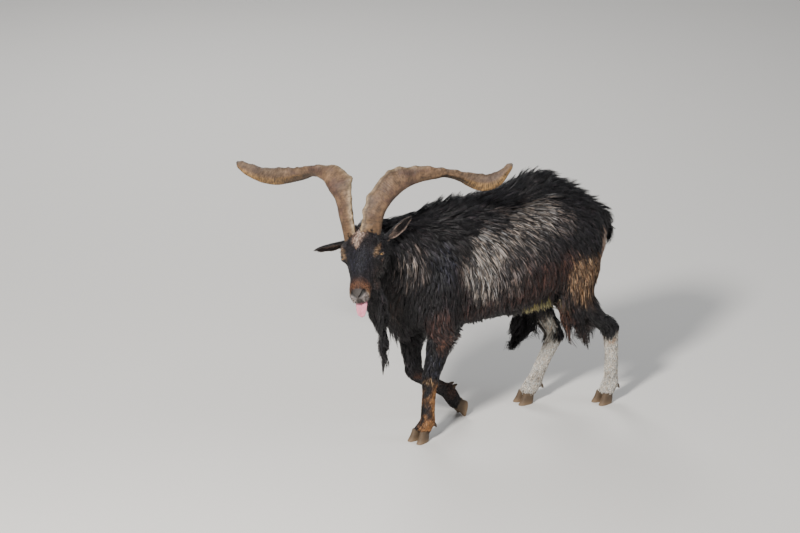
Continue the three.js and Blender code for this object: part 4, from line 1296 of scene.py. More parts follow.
# %% The ground that hair grows on
class Ground:
    """A surface that hair grows on, with the hair and its lie at each of its points."""

    def __init__(self, mesh, lie, hair, looks):
        mesh.calc_loop_triangles()
        self.corners = array(mesh.loop_triangles, "vertices", 3, np.int32)
        self.places = drawn(array(mesh.vertices, "co", 3))
        self.normals = normals_of(mesh)
        self.tree = tree_of(self.places, self.corners.tolist())
        self.lie, self.hair, self.looks = lie, hair, looks
        layer = array(mesh.uv_layers["OFBake"].uv, "vector", 2)
        self.map = layer[array(mesh.loop_triangles, "loops", 3, np.int32)]
        self.face_normal = unit(self.normals[self.corners].mean(1))
        self.face_lie = unit(lie[self.corners].mean(1))
        self.face_hair = hair[self.corners].mean(1)
        a, b, c = (self.places[self.corners[:, k]] for k in range(3))
        self.area = np.linalg.norm(np.cross(b - a, c - a), axis=1) / 2
        self.middle = (a + b + c) / 3

    def nearest(self, places):
        found = [self.tree.find_nearest(p) for p in places.tolist()]
        return np.array([f[0][:] for f in found]), np.array([f[2] for f in found])


ground = Ground(wrapped, lie, hair, looks)
print("the body's ground:", round(ground.area.sum() / 1e6, 2), "square metres")


# %% Where locks start, and their colours
COVERED = 0.62  # the part of its length times its width that a lock covers
WARMTH = np.array([0.20, 0.04, -0.10])  # how much redder the warmest strands are
AT_ROOT, TO_TIP = 0.72, 0.4  # how bright a strand is at its root, and how much it gains
OWN_CHANCE, TUFT_CHANCE, CRISP = 0.72, 0.28, 5  # what makes a strand dark or light
BRIGHTNESS_SPREAD = 0.24


def sown(ground, chosen, crowd, rng):
    """The faces that locks start on, more where hair is dense, and the place on each."""
    faces = np.flatnonzero(chosen)
    hair = ground.face_hair[faces]
    wanted = ground.area[faces] * hair[:, 3] / (COVERED * hair[:, 0] * hair[:, 2]) * crowd
    count = int(wanted.sum())
    spots = np.searchsorted(np.cumsum(wanted), rng.uniform(0, wanted.sum(), count))
    return faces[spots.clip(0, len(faces) - 1)], rng.dirichlet((1, 1, 1), count)[:, :, None]


def strand_colours(looks, shared, rings, rng):
    """A colour for each step of each lock: its look's dark or light one, a bit off the mean."""
    count = len(looks)
    chance = OWN_CHANCE * rng.uniform(size=count) + TUFT_CHANCE * shared
    tone = np.clip((looks[:, 6] - chance) * CRISP + 0.5, 0, 1)
    colour = looks[:, :3] + tone[:, None] * (looks[:, 3:6] - looks[:, :3])
    colour = colour * (1 + BRIGHTNESS_SPREAD * rng.normal(size=count).clip(-2, 2))[:, None]
    colour = colour * (1 + WARMTH * rng.uniform(-0.6, 1, count)[:, None])
    fade = [AT_ROOT + TO_TIP * (k / rings) for k in range(rings + 1)]
    return np.stack([colour * f for f in fade], 1).clip(0, 1)


print("a lock covers", COVERED, "of its length times its width")


# %% Growing the lines of the locks
SINK = 0.6  # mm, how far a root lies under the skin
FULL_BY, RISE_CURVE = 2.3, 0.8  # a lock is at its height after 1 / FULL_BY of its length
HANGS_FROM, HANGS_AT = 0.3, 0.78  # how much the skin faces the lie where hair leaves it
SAG = 0.35  # how much hair that hangs free turns down


def rise_at(share):
    return min(1.0, FULL_BY * share) ** RISE_CURVE


def grow(ground, chosen, seed, rings, crowd=1.0, in_tuft=7, draw=0.52, stray=7.0, wave=0.0,
         uneven=0.0):
    """The lines, widths, normals, colours and map places of the locks on the chosen faces."""
    rng = np.random.default_rng(seed)
    picked, share = sown(ground, chosen, crowd, rng)
    count, corners = len(picked), ground.corners[picked]
    root = (ground.places[corners] * share).sum(1)
    hair = (ground.hair[corners] * share).sum(1)
    looks = (ground.looks[corners] * share).sum(1)
    root_map = (ground.map[picked] * share).sum(1)
    leaders = rng.permutation(count)[:max(1, count // in_tuft)]
    leader = leaders[nearest_of(root, root[leaders])]

    own, shared = rng.uniform(size=(2, count))
    shared = shared[leader]
    turn_by = np.radians(rng.normal(0, stray, count)[leader] + rng.normal(0, stray * 0.6, count))
    length = hair[:, 0] * (0.72 + 0.3 * own + 0.16 * shared) * (1 + uneven * (2 * shared - 1))
    height = hair[:, 1] * (0.25 + 0.85 * (0.6 * rng.uniform(size=count) + 0.4 * shared) ** 0.8)
    phase = rng.uniform(0, 2 * math.pi, count)[leader]
    line, normals = [root - SINK * ground.face_normal[picked]], [ground.face_normal[picked]]
    here, at_face = root, picked
    for k in range(1, rings + 1):
        s = k / rings
        normal, way = ground.face_normal[at_face], ground.face_lie[at_face]
        faces_way = (normal * way).sum(1, keepdims=True)
        cling = 1 - smoothstep(HANGS_FROM, HANGS_AT, faces_way)
        flat = unit(way - normal * faces_way)
        way = unit(way + cling * (flat - way))
        bend = turn_by + wave * np.sin(phase + 2.6 * s * math.pi)
        way = unit(way + np.tan(bend)[:, None] * np.cross(normal, way))
        way = unit(way - SAG * (1 - cling) * (0, 0, 1))
        free = here + way * (length / rings)[:, None]
        on, at_face = ground.nearest(free)
        # past the body's edge, hair hangs on instead of folding round it
        past = ((free - on) * way).sum(1) / (length / rings)
        cling = cling * (1 - smoothstep(0.12, 0.5, past) * smoothstep(25, 50, hair[:, 0]))[:, None]
        normal = ground.face_normal[at_face]
        rise = height * rise_at(s)
        over = rise + hair[:, 4] * (0.4 + 1.2 * shared) * s * s
        laid = on + normal * over[:, None]
        free_rise = normals[0] * (rise - height * rise_at(s - 1 / rings))[:, None]
        new = free + free_rise * (1 - cling) + cling * (laid - free)
        pull = draw * s ** 1.2
        new = new + pull * (new[leader] - new)
        line.append(new)
        normals.append(normal)
        here = new
    colours = strand_colours(looks, shared, rings, rng)
    width = hair[:, 2] * (0.8 + 0.4 * rng.uniform(size=count))
    return np.stack(line, 1), np.stack(normals, 1), width, colours, root_map


print("after each of 4 steps a lock's rise is", [round(rise_at(k / 4), 2) for k in range(5)])


# %% Locks as one mesh
# how wide a lock is after each step, for locks of two, three and four steps
SHAPE_OF_LOCK = {2: (0.85, 0.8, 0), 3: (0.7, 1.0, 0.72, 0), 4: (0.65, 1.0, 0.9, 0.6, 0)}
PATCH = 0.003  # the breadth of a lock's patch on the map


def locks_mesh(name, grown, rings):
    """A mesh of closed, tapering locks with three sides."""
    line, normals, width, colours, root_map = grown
    count = len(line)
    taper = np.array(SHAPE_OF_LOCK[rings])
    ahead = np.gradient(line, axis=1)
    side = unit(np.cross(normals, ahead))
    up = unit(np.cross(ahead, side))
    half = (width[:, None] * taper / 2)[:, :rings, None]
    base = line[:, :rings]
    ring = np.stack([base - side[:, :rings] * half, base + side[:, :rings] * half,
                     base + up[:, :rings] * half * 1.1], 2)
    points = np.concatenate([ring.reshape(count, -1, 3), line[:, rings:]], 1)
    each = points.shape[1]
    shape, around = [(2, 1, 0)], 3 * (rings - 1)
    for k in range(rings - 1):
        for i in range(3):
            a, b = 3 * k + i, 3 * k + (i + 1) % 3
            shape.append((a, b, b + 3, a + 3))
    shape += [(around + i, around + (i + 1) % 3, each - 1) for i in range(3)]
    loops = np.array([v for face in shape for v in face])
    sizes = np.array([len(face) for face in shape])
    mesh = bpy.data.meshes.new(name)
    mesh.vertices.add(count * each)
    mesh.vertices.foreach_set("co", metres(points.reshape(-1, 3)).ravel())
    mesh.loops.add(count * len(loops))
    all_loops = (loops[None] + each * np.arange(count)[:, None]).ravel()
    mesh.loops.foreach_set("vertex_index", all_loops.astype(np.int32))
    all_sizes = np.tile(sizes, count)
    starts = np.concatenate([[0], np.cumsum(all_sizes)[:-1]])
    mesh.polygons.add(len(all_sizes))
    mesh.polygons.foreach_set("loop_start", starts.astype(np.int32))
    mesh.polygons.foreach_set("use_smooth", np.ones(len(all_sizes), bool))
    mesh.update(calc_edges=True)
    patch = np.array([((v % 3) / 3 if v < each - 1 else 0.3, (v // 3) / rings)
                      for v in loops]) * PATCH
    layer = mesh.uv_layers.new(name="OFBake")
    layer.uv.foreach_set("vector", (root_map[:, None] + patch).ravel())
    tint_points(mesh, np.repeat(colours, [3] * rings + [1], axis=1).reshape(-1, 3))
    return mesh, int((all_sizes - 2).sum())


print("triangles of a lock:", {steps: 1 + 6 * (steps - 1) + 3 for steps in SHAPE_OF_LOCK})


# %% The hair's finish, and a piece of coat
coat_finish = Finish("coat_hair", Specular_IOR_Level=0.42, Sheen_Weight=0.05,
                     Sheen_Roughness=0.4)
sheen_noise = coat_finish.noise(90, 3, 0.6)
coat_finish.finish(coat_finish.mix(0.35 * sheen_noise, coat_finish.tint(),
                                   srgb(16, 14, 16)),
                   roughness=0.38 + 0.2 * sheen_noise)
MOST_TRIANGLES = 198_000
triangles_of_coat = []  # of each piece


def coat_piece(name, ground, chosen, seed, rings, **how):
    grown = grow(ground, chosen, seed, rings, **how)
    mesh, triangles = locks_mesh(name, grown, rings)
    if triangles > MOST_TRIANGLES:
        raise ValueError(f"{name} has {triangles} triangles")
    made = new_object(name, mesh, coat_finish.material)
    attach(made, "root")
    triangles_of_coat.append(triangles)
    print(f"{name}: {len(grown[0])} locks, {triangles} triangles")


print("a piece of coat has at most", MOST_TRIANGLES, "triangles")


# %% Which part of the body each face is
face_home = homes[ground.corners[:, 0]]


def from_nodes(*nodes):
    return np.isin(face_home, [NAMES.index(n) for n in nodes])


middle = ground.middle
HANGING_LENGTH = 64  # mm, as the next ones
SHOULDER_END, RUMP_START, BACK_FROM = -255, 120, 700  # where the coat's pieces meet
covered = bare[ground.corners].mean(1) < 0.3
on_face = from_nodes("head") & (ground.face_hair[:, 0] < 26)
long_head = from_nodes("head") & ~on_face
body = from_nodes("trunk", "neck", "gaskin_left", "gaskin_right") | long_head
hanging = ((ground.face_hair[:, 0] > HANGING_LENGTH) & (middle[:, 2] < HANGING_BELOW)
           & (middle[:, 0] > HANGING_BEHIND))
legs = from_nodes("forearm_left", "forearm_right", "fore_shank_left", "fore_shank_right",
                  "hind_shank_left", "hind_shank_right", "scrotum")
neck = from_nodes("neck") | long_head
front = (middle[:, 0] < SHOULDER_END) & ~neck
rear = (middle[:, 0] > RUMP_START) & ~neck
barrel = ~front & ~rear & ~neck
left, above = middle[:, 1] < 0, middle[:, 2] > BACK_FROM
AREAS = {
    "coat_neck": neck, "coat_shoulder_left": front & left, "coat_shoulder_right": front & ~left,
    "coat_flank_left": barrel & left & ~above, "coat_flank_right": barrel & ~left & ~above,
    "coat_back_left": barrel & left & above, "coat_back_right": barrel & ~left & above,
    "coat_rump_left": rear & left, "coat_rump_right": rear & ~left,
}
print("pieces of the body's coat:", len(AREAS))


# %% The coat grows
for seed, (name, area) in enumerate(AREAS.items(), 100):
    ragged = 0.3 if "back" in name or "rump" in name else 0.12
    coat_piece(name, ground, body & ~hanging & area, seed, 3, uneven=ragged)
coat_piece("coat_skirts", ground, body & hanging, 120, 4, crowd=1.2, in_tuft=13, draw=0.66,
           wave=0.08, stray=14, uneven=0.55)
coat_piece("beard_hair", ground, from_nodes("beard"), 121, 4, crowd=1.6, in_tuft=16, draw=0.62,
           wave=0.05, stray=7, uneven=0.5)
coat_piece("tail_hair", ground, from_nodes("tail"), 122, 3, stray=14, draw=0.4, uneven=0.4)
ENDS = {"fore": middle[:, 0] < 0, "hind": middle[:, 0] >= 0}
for seed, (name, end) in enumerate(ENDS.items(), 130):
    coat_piece(f"coat_legs_{name}", ground, legs & end, seed, 2, in_tuft=5, draw=0.35)
coat_piece("coat_face", ground, on_face & covered, 124, 2, in_tuft=6, draw=0.42, uneven=0.2)
print("coat:", sum(triangles_of_coat), "triangles")


# %% [markdown]
# ## Horns
# A goat's horn is a sheath of horn over bone. It is flattened, has a keel in front, twists as it
# grows, and carries a fine ridge for each spell of growth, with knobs on the keel. Its outer half
# is hollowed underneath. A tube along the horn's line gives the twist and the keel. The ridges,
# knobs and the hollow are pushed into its rings. They are real geometry, as their shadows make the
# horn. The same numbers give each point its tint: painted shade in the grooves, between the ridges
# and in the hollow, and a painted highlight as a pale band along the keel.

# %% The horns' lines and sections
HORN_BASE, HORN_ROLL = (15, 36, 60), 2
# where (out, forward, up), the keel's way (the same), half-breadth, half-thickness
HORNS = {
    "left": [
        ((-10, 7, -37), (-0.77, 0.59, 0.23), 38, 20), ((-4, 0, 2), (-0.79, 0.56, 0.24), 38, 20),
        ((2, -13, 51), (-0.81, 0.46, 0.36), 38, 21), ((15, -35, 89), (-0.78, 0.28, 0.57), 39, 23),
        ((35, -65, 122), (-0.72, 0.12, 0.68), 41.5, 26),
        ((62, -98, 149), (-0.56, -0.06, 0.83), 43, 27),
        ((100, -128, 161), (-0.18, 0.04, 0.98), 37, 24),
        ((141, -154, 165), (0.13, 0.26, 0.96), 32, 18),
        ((190, -180, 163), (0.37, 0.52, 0.77), 30, 15),
        ((239, -203, 152), (0.45, 0.59, 0.67), 29, 14),
        ((278, -219, 137), (0.47, 0.4, 0.79), 29, 14),
        ((312, -231, 123), (0.35, 0.06, 0.93), 30, 14),
        ((352, -246, 112), (-0.06, -0.26, 0.96), 30, 14),
        ((391, -265, 118), (-0.54, -0.33, 0.78), 25, 12),
        ((419, -282, 144), (-0.73, -0.14, 0.67), 17.5, 10),
        ((438, -292, 164), (-0.75, -0.04, 0.67), 11, 8),
        ((445, -297, 171), (-0.78, -0.02, 0.63), 4, 4),
    ],
    "right": [
        ((6, 4, -32), (-0.7, 0.69, 0.19), 33, 18), ((13, 1, 8), (-0.68, 0.68, 0.27), 34, 18),
        ((26, -15, 66), (-0.71, 0.59, 0.38), 36, 21),
        ((39, -37, 114), (-0.74, 0.41, 0.54), 37, 22),
        ((60, -66, 152), (-0.81, -0.12, 0.57), 44, 26),
        ((88, -90, 173), (-0.53, -0.3, 0.79), 42, 26),
        ((128, -108, 182), (-0.04, 0.07, 1), 27, 20),
        ((170, -127, 179), (0.39, 0.51, 0.76), 26, 15),
        ((210, -141, 162), (0.4, 0.28, 0.88), 29, 15),
        ((272, -161, 143), (0.2, -0.12, 0.97), 31, 15),
        ((334, -181, 131), (-0.04, -0.45, 0.89), 30, 14),
        ((388, -200, 130), (-0.26, -0.56, 0.79), 27, 13),
        ((445, -218, 141), (-0.38, -0.54, 0.75), 20.5, 12),
        ((477, -227, 155), (-0.49, -0.41, 0.77), 13.5, 9),
        ((489, -230, 163), (-0.56, -0.42, 0.72), 4, 4),
    ],
}
HORN_KNOBS = {"left": (3, 5), "right": (4,)}  # at which stations
HORN_RINGS, HORN_SIDES = 430, 40
RIDGE_SPACING, SPELL_SPACING = 7.4, 52  # mm, as the next ones
GROOVE_DEPTH, HOLLOW_DEPTH, KNOB_HEIGHT, KNOB_REACH = 3.4, 8.0, 9.0, 15
RINGS_WANDER, LUMPS = 2.2, 1.7
HORN_BONE = (120, 95, 72)
print("horns:", {name: f"{len(stations)} stations" for name, stations in HORNS.items()})


# %% The tube of a horn
def over_horn(places, size, seed):
    return wander(places.reshape(-1, 3), size, seed).reshape(places.shape[:2])


def horn_tube(name):
    """Smooth rings: places, shares, angles, ways out, mm along the horn, and knobs' places."""
    sign = SIDES[name]
    turned = turn(HEAD_YAW, "Z") @ turn(HORN_ROLL, "X")
    base = in_skull(np.array(HORN_BASE) * (1, sign, 1))
    at = [turned @ (f, sign * o, u) + base for (o, f, u), _, _, _ in HORNS[name]]
    keels = np.array([turned @ (f, sign * o, u) for _, (o, f, u), _, _ in HORNS[name]])
    stations = [(p, w, d, d) for p, (_, _, w, d) in zip(at, HORNS[name])]
    places, shares, angles = tube_rings(stations, HORN_RINGS, HORN_SIDES, keels, keel=0.3)
    middle = places[:, :-1].mean(1, keepdims=True)
    out = unit(places - middle)
    run = np.concatenate([[0], np.cumsum(np.linalg.norm(np.diff(middle[:, 0], axis=0), axis=1))])
    run = run[:, None] + RINGS_WANDER * over_horn(places, 45, 31)
    knobs = [at[i] + unit(keels[i]) * HORNS[name][i][2] * 0.8 for i in HORN_KNOBS[name]]
    return places, shares, angles, out, run, knobs


print("along the left horn, mm:", round(float(horn_tube("left")[4][-1].mean())))


# %% The ridges of a horn, and its tints
def horn(name):
    """The mesh of a horn, its places and their tints."""
    places, shares, angles, out, run, knobs = horn_tube(name)
    keel = np.clip(np.sin(angles), 0, 1)  # 1 on the keel, 0 on the horn's back
    waver = 1.6 * np.sin(run / 23) + 1.4 * np.sin(run / 7.1 + 1.3 * np.sin(angles))
    fine = 0.5 + 0.5 * np.cos(2 * math.pi * run / RIDGE_SPACING + waver)
    spell = 0.5 + 0.5 * np.cos(2 * math.pi * run / SPELL_SPACING + 1.2 * np.sin(run / 61))
    ends = smoothstep(0.0, 0.12, shares) * (1 - smoothstep(0.9, 0.99, shares))
    streak = over_horn(np.stack([28 * np.cos(angles), 28 * np.sin(angles), 0.16 * run], -1),
                       9, 36)
    outer = smoothstep(0.4, 0.6, shares)
    rise = ends * (fine ** 0.8 * (0.28 + 0.4 * keel + 0.4 * outer) + 0.5 * streak
                   + spell ** 2 * (0.5 + 3.2 * keel ** 3))
    rise += LUMPS * over_horn(places, 20, 32) * ends * (0.3 + keel)
    groove = np.exp(-((np.degrees(angles) - 56) / 9) ** 2) * (1 - smoothstep(0.3, 0.42, shares))
    rise -= GROOVE_DEPTH * groove * smoothstep(0.05, 0.12, shares)
    under = np.clip(0.2 - 1.2 * out[:, :, 2], 0, 1)
    hollow = under * smoothstep(0.5, 0.55, shares) * (1 - smoothstep(0.62, 0.74, shares))
    rise -= HOLLOW_DEPTH * hollow
    for knob in knobs:
        rise += KNOB_HEIGHT * near(places, knob, KNOB_REACH)
    places = places + out * rise[:, :, None]

    speckle, mottle = over_horn(places, 5, 33), over_horn(places, 13, 35)
    patch, up = over_horn(places, 38, 34), out[:, :, 2]
    golden = smoothstep(0.46, 0.66, shares) * smoothstep(-0.35, 0.35, -up + 0.2 * patch)
    golden = np.maximum(golden, 0.3 * (1 - smoothstep(0.06, 0.16, shares)))
    tints = {  # each over the ones before it
        (86, 65, 54): smoothstep(-0.3, 0.9, patch + 0.4 * mottle),
        (146, 114, 70): golden,
        # painted highlight: a pale narrow band along the keel
        (176, 158, 128): 0.8 * keel ** 6 * (1 - smoothstep(0.34, 0.5, shares)),
        (112, 100, 88): 0.5 * smoothstep(0.5, 0.7, shares) * np.clip(up, 0, 1),
        # painted shade in the hollow underneath and in the groove near the root
        (48, 37, 29): 0.85 * hollow ** 0.7,
        (66, 52, 42): 0.8 * groove,
        (98, 92, 86): smoothstep(0.93, 0.985, shares),
    }
    tint = np.array(srgb(*HORN_BONE))
    for colour, share in tints.items():
        tint = tint + share[..., None] * (np.array(srgb(*colour)) - tint)
    # painted shade between the ridges and in the furrows between spells of growth, with the horn's
    # own speckles, mottling and streaks
    dark = 1 - 0.36 * (1 - fine) ** 1.5 * ends * (0.3 + 1.1 * golden)
    dark += 0.16 * speckle + 0.22 * mottle + 0.18 * streak
    dark *= 1 - 0.22 * (1 - spell) ** 3 * ends
    mesh = grid_mesh(f"horn_{name}", places)
    return mesh, places, tint * dark[..., None]


print("a horn's grid:", HORN_RINGS, "by", HORN_SIDES + 1)


# %% The horns' finish, and both horns
def tint_grid(mesh, places, tint):
    """Gives each point of a grid's mesh the tint of the nearest of the grid's places."""
    nearest = nearest_of(array(mesh.vertices, "co", 3), metres(places.reshape(-1, 3)))
    tint_points(mesh, tint.reshape(-1, 3)[nearest].clip(0, 1))


horn_finish = Finish("horn", Specular_IOR_Level=0.4)
grain = horn_finish.noise(420, 4, 0.65)
stain = horn_finish.noise(60, 4, 0.6)
flecks = (horn_finish.noise(105, 5, 0.7) - 0.48) * 6.0
flecks = flecks.math("MAXIMUM", 0.0).math("MINIMUM", 1.0)
horn_colour = horn_finish.mix(0.5 * stain, horn_finish.tint(), srgb(96, 78, 62), "MULTIPLY")
horn_colour = horn_finish.mix(0.3 * grain, horn_colour, srgb(176, 156, 126), "OVERLAY")
horn_colour = horn_finish.mix(0.6 * flecks, horn_colour, srgb(58, 43, 35))
horn_finish.finish(horn_colour, roughness=0.5 + 0.22 * grain, height=grain + stain - 0.8 * flecks,
                   strength=0.6, distance=0.0014)
for side in SIDES:
    mesh, places, tint = horn(side)
    tint_grid(mesh, places, tint)
    piece = new_object(f"horn_shell_{side}", mesh, horn_finish.material)
    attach(piece, "root")
    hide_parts(f"horn_{side}")
    print(piece.name, len(mesh.vertices), "points")

# %% [markdown]
# ## Eyes
# A goat's eye is amber, and its pupil is a level slit, which lets it watch a wide horizon. The
# ball is a sphere with the clear cornea's bulge pushed out of it. The iris is painted by nodes on
# a map laid over its front, so its edge stays sharp at any distance, and a clear coat makes it
# wet. Round it lie the dark bare edges of the lids, as one closed tube on the skin's opening.

# %% The eye's finish
SLIT_LONG, SLIT_HIGH, IRIS_EDGE = 0.36, 0.13, 0.66  # half sizes, the ball's being 1
eye_finish = Finish("amber_eye", Roughness=0.12, Coat_Weight=1.0, Coat_Roughness=0.02)
place_on_eye = eye_finish.add("ShaderNodeUVMap", {"uv_map": "Iris"})
parts_of_place = eye_finish.add("ShaderNodeSeparateXYZ", {}, {0: place_on_eye})
across_eye = (Value(eye_finish, parts_of_place.socket.node.outputs[0]) - 0.5) * 2.0
down_eye = (Value(eye_finish, parts_of_place.socket.node.outputs[1]) - 0.5) * 2.0
from_middle = (across_eye * across_eye + down_eye * down_eye) ** 0.5
slit = (across_eye / SLIT_LONG) ** 4.0 + (down_eye / SLIT_HIGH) ** 4.0
slit = slit.math("LESS_THAN", 1.0)
iris_edge = ((from_middle - IRIS_EDGE) * 14.0).math("MINIMUM", 1.0).math("MAXIMUM", 0.0)
rays = eye_finish.noise(6.0, 5, 0.7, at=place_on_eye)
iris = eye_finish.mix(rays, srgb(196, 150, 72), srgb(138, 94, 42))
iris = eye_finish.mix((from_middle * 1.1) ** 4.0, iris, srgb(92, 56, 24))
iris = eye_finish.mix(iris_edge, iris, srgb(38, 26, 20))
eye_finish.finish(eye_finish.mix(slit, iris, srgb(6, 5, 6)))
print("pupil's length over its height:", round(SLIT_LONG / SLIT_HIGH, 1))


# %% The finish of the lids' edges
lid_finish = Finish("lid_edge", Specular_IOR_Level=0.6)
lid_grain = lid_finish.noise(500, 2)
lid_finish.finish(lid_finish.mix(lid_grain, srgb(24, 18, 18), srgb(44, 34, 32)),
                  roughness=0.3 + 0.15 * lid_grain, height=lid_grain, strength=0.2)
print("nodes of the lids' finish:", len(lid_finish.nodes))


# %% The eyeball
CORNEA_DEGREES, CORNEA_BULGE = 42, 0.075


def eye(side):
    """A ball with the cornea's bulge, and a map laid over its front."""
    middle, axis, line, _ = eye_frame(SIDES[side])
    frame_of_eye = np.column_stack([line, np.cross(axis, line), axis])
    bm = bmesh.new()
    bmesh.ops.create_uvsphere(bm, u_segments=72, v_segments=48, radius=1)
    layer = bm.loops.layers.uv.new("Iris")
    for face in bm.faces:
        face.smooth = True
        for loop in face.loops:
            loop[layer].uv = (loop.vert.co.x / 2 + 0.5, loop.vert.co.y / 2 + 0.5)
    for vert in bm.verts:
        off = math.degrees(math.acos(max(-1, min(1, vert.co.z)))) / CORNEA_DEGREES
        bulge = 1 + CORNEA_BULGE * max(0, 1 - off * off) ** 2
        local = frame_of_eye @ np.array(vert.co) * EYE_RADIUS * bulge
        vert.co = metres(in_skull(middle + local))
    mesh = bpy.data.meshes.new(f"eyeball_{side}")
    bm.to_mesh(mesh)
    bm.free()
    return mesh


print("the cornea stands out by", round(EYE_RADIUS * CORNEA_BULGE, 2), "mm")


# %% The edges of the lids, and both eyes
LID_STANDS_OFF, LID_HALF, UPPER_LID = 1.0, 1.55, 0.6  # mm


def lid_edge(side):
    """A closed tube round the opening of the skin, thicker above."""
    middle, axis, line, over = eye_frame(SIDES[side])
    rounds = np.linspace(0, 2 * math.pi, 73)
    a = np.radians(LID_ANGLES[0] * np.cos(rounds))[:, None]
    b = np.radians(LID_ANGLES[1] * np.sin(rounds) + 2)[:, None]
    ways = unit(axis + np.tan(a) * line + np.tan(b) * over)
    at = middle + ways * (EYE_RADIUS + LID_STANDS_OFF)
    ahead = unit(np.gradient(at, axis=0))
    ahead[0] = ahead[-1] = unit(ahead[0] + ahead[-1])
    across = np.cross(ahead, ways)
    thick = LID_HALF + UPPER_LID * np.clip(np.sin(rounds), 0, 1)
    turns = np.linspace(0, 2 * math.pi, 11)
    ring = (ways[:, None] * np.cos(turns)[None, :, None]
            + across[:, None] * np.sin(turns)[None, :, None]) * thick[:, None, None]
    return grid_mesh(f"lid_edge_{side}", in_skull(at[:, None] + ring))


for side in SIDES:
    ball = new_object(f"eyeball_{side}", eye(side), eye_finish.material)
    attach(ball, "root")
    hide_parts(f"eye_{side}")
    edge = new_object(f"lid_edge_{side}", lid_edge(side), lid_finish.material)
    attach(edge, "root")
    print("eye and lids", side)

# %% [markdown]
# ## The tongue
# It lies over the lower lip and hangs, a flat muscle with a groove down its middle and a rounded
# tip. A tube with a flat section has the outline, and the groove and the raised edges are pushed
# into it. It is wet, so it has a clear coat over a fine grain of papillae.

# %% The shape of the tongue
LIPS = in_skull((262, 2, -42))
TONGUE = [(-18, -26, 16, 5), (-4, -4, 19, 5), (12, 8, 20.5, 5.5), (36, 12, 18, 5.5),
          (55, 10, 12, 4.5), (62, 8, 4, 2)]  # down, forward, half-width, half-depth
TONGUE_GROOVE, TONGUE_EDGES, TONGUE_UNEVEN = 2.2, 1.6, 0.5  # mm
TONGUE_PINK, TONGUE_IN_SHADE = np.array(srgb(208, 116, 140)), np.array(srgb(176, 104, 120))
stations = []
for down, forward, wide, deep in TONGUE:
    at = LIPS + from_head(forward, 0, 0)
    stations.append((np.array([at[0], at[1], LIPS[2] - down]), wide, deep, deep))
places, shares, angles = tube_rings(stations, 64, 100, from_head(0, 1, 0))
x, front = np.sin(angles), np.clip(np.cos(angles), 0, 1) ** 0.5
forward = unit(from_head(1, 0, 0))
dip = -TONGUE_GROOVE * np.exp(-(x / 0.2) ** 2) * front * (1 - smoothstep(0.86, 0.97, shares))
dip += TONGUE_EDGES * np.abs(x) ** 3 * (1 - smoothstep(0.8, 1, shares))
dip += TONGUE_UNEVEN * wander(places.reshape(-1, 3), 9, 41).reshape(x.shape)
places = places + forward * dip[..., None]
mesh = grid_mesh("tongue_wet", places)
# painted shade: the tongue darkens in its groove and towards its root inside the mouth
shade = smoothstep(0.0, 0.4, 1 - shares) * 0.35 + 0.35 * np.exp(-(x / 0.12) ** 2) * front
tint_grid(mesh, places, TONGUE_PINK + shade[..., None] * (TONGUE_IN_SHADE - TONGUE_PINK))
print("tongue:", len(mesh.vertices), "points")


# %% The tongue's finish
tongue_finish = Finish("tongue", Coat_Weight=0.35, Coat_Roughness=0.3, Subsurface_Weight=0.15,
                       Subsurface_Radius=(0.004, 0.0015, 0.001))
buds = tongue_finish.noise(900, 2, 0.7)
tongue_finish.finish(tongue_finish.mix(0.4 * buds, tongue_finish.tint(), srgb(238, 180, 190)),
                     roughness=0.3 + 0.2 * buds, height=buds, strength=0.5, distance=0.0006)
tongue = new_object("tongue_wet", mesh, tongue_finish.material)
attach(tongue, "root")
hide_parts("tongue")
print("nodes of the tongue's finish:", len(tongue_finish.nodes))

# %% [markdown]
# ## Ears
# An ear is a leaf of gristle rolled into a funnel at its root and opening towards its tip. Its
# section is a crescent: the outer wall runs from rim to rim and comes back as the inner one. The
# roll lessens along the ear. Hair is short on its back, and a pale fringe stands on its rim.

# %% The leaf of an ear
EAR_LEAF = [(-0.12, 12), (0.1, 15), (0.3, 20), (0.5, 23), (0.7, 21), (0.88, 13), (1.0, 2)]
EAR_ROLL = [155, 125, 92, 78, 70, 62, 55]  # degrees from the back to each rim
EAR_WALL = 1.3  # half of it, mm
EAR_DEPTH, EAR_RIPPLE = 0.72, 1.2  # how deep beside a round one, and its ripple, mm
EAR_ROWS, EAR_COLUMNS = 70, 26


def ear_leaf(side):
    """A leaf's places, how far along and across it each is, and whether it is inside."""
    root, along, opening = ear_frame(side)
    across = np.cross(along, opening)
    t = np.linspace(0, 1, EAR_ROWS)
    share = through([s for s, _ in EAR_LEAF], t)
    wide = through([w for _, w in EAR_LEAF], t)[:, :, None]
    roll = np.radians(through(EAR_ROLL, t))[:, :, None]
    c = np.linspace(-1, 1, EAR_COLUMNS)
    c = np.concatenate([c, c[::-1], c[:1]])[None, :, None]
    wall = np.concatenate([np.ones(EAR_COLUMNS), -np.ones(EAR_COLUMNS), [1]])[None, :, None]
    wall = wall * (0.25 + EAR_WALL * np.sqrt(1 - c * c))
    spread = np.sin(np.minimum(roll, math.pi / 2))
    radius = wide / spread + wall
    sideways = radius * np.sin(c * roll)
    back = EAR_DEPTH * (radius * np.cos(c * roll) - wide * (1 + np.cos(roll)) / 2) / spread
    ripple = EAR_RIPPLE * np.sin(share[:, :, None] * 19 + 2 * c) * np.abs(c) ** 2
    places = (root + along * (share * EAR_LENGTH)[:, :, None] + across * sideways
              - opening * (back - ripple))
    inner = np.broadcast_to(np.sign(wall) < 0, places.shape[:2] + (1,))[..., 0]
    share, c = (np.broadcast_to(v, inner.shape) for v in (share, c[..., 0]))
    return places, share, c, inner


print("an ear's grid:", ear_leaf("left")[0].shape[:2])


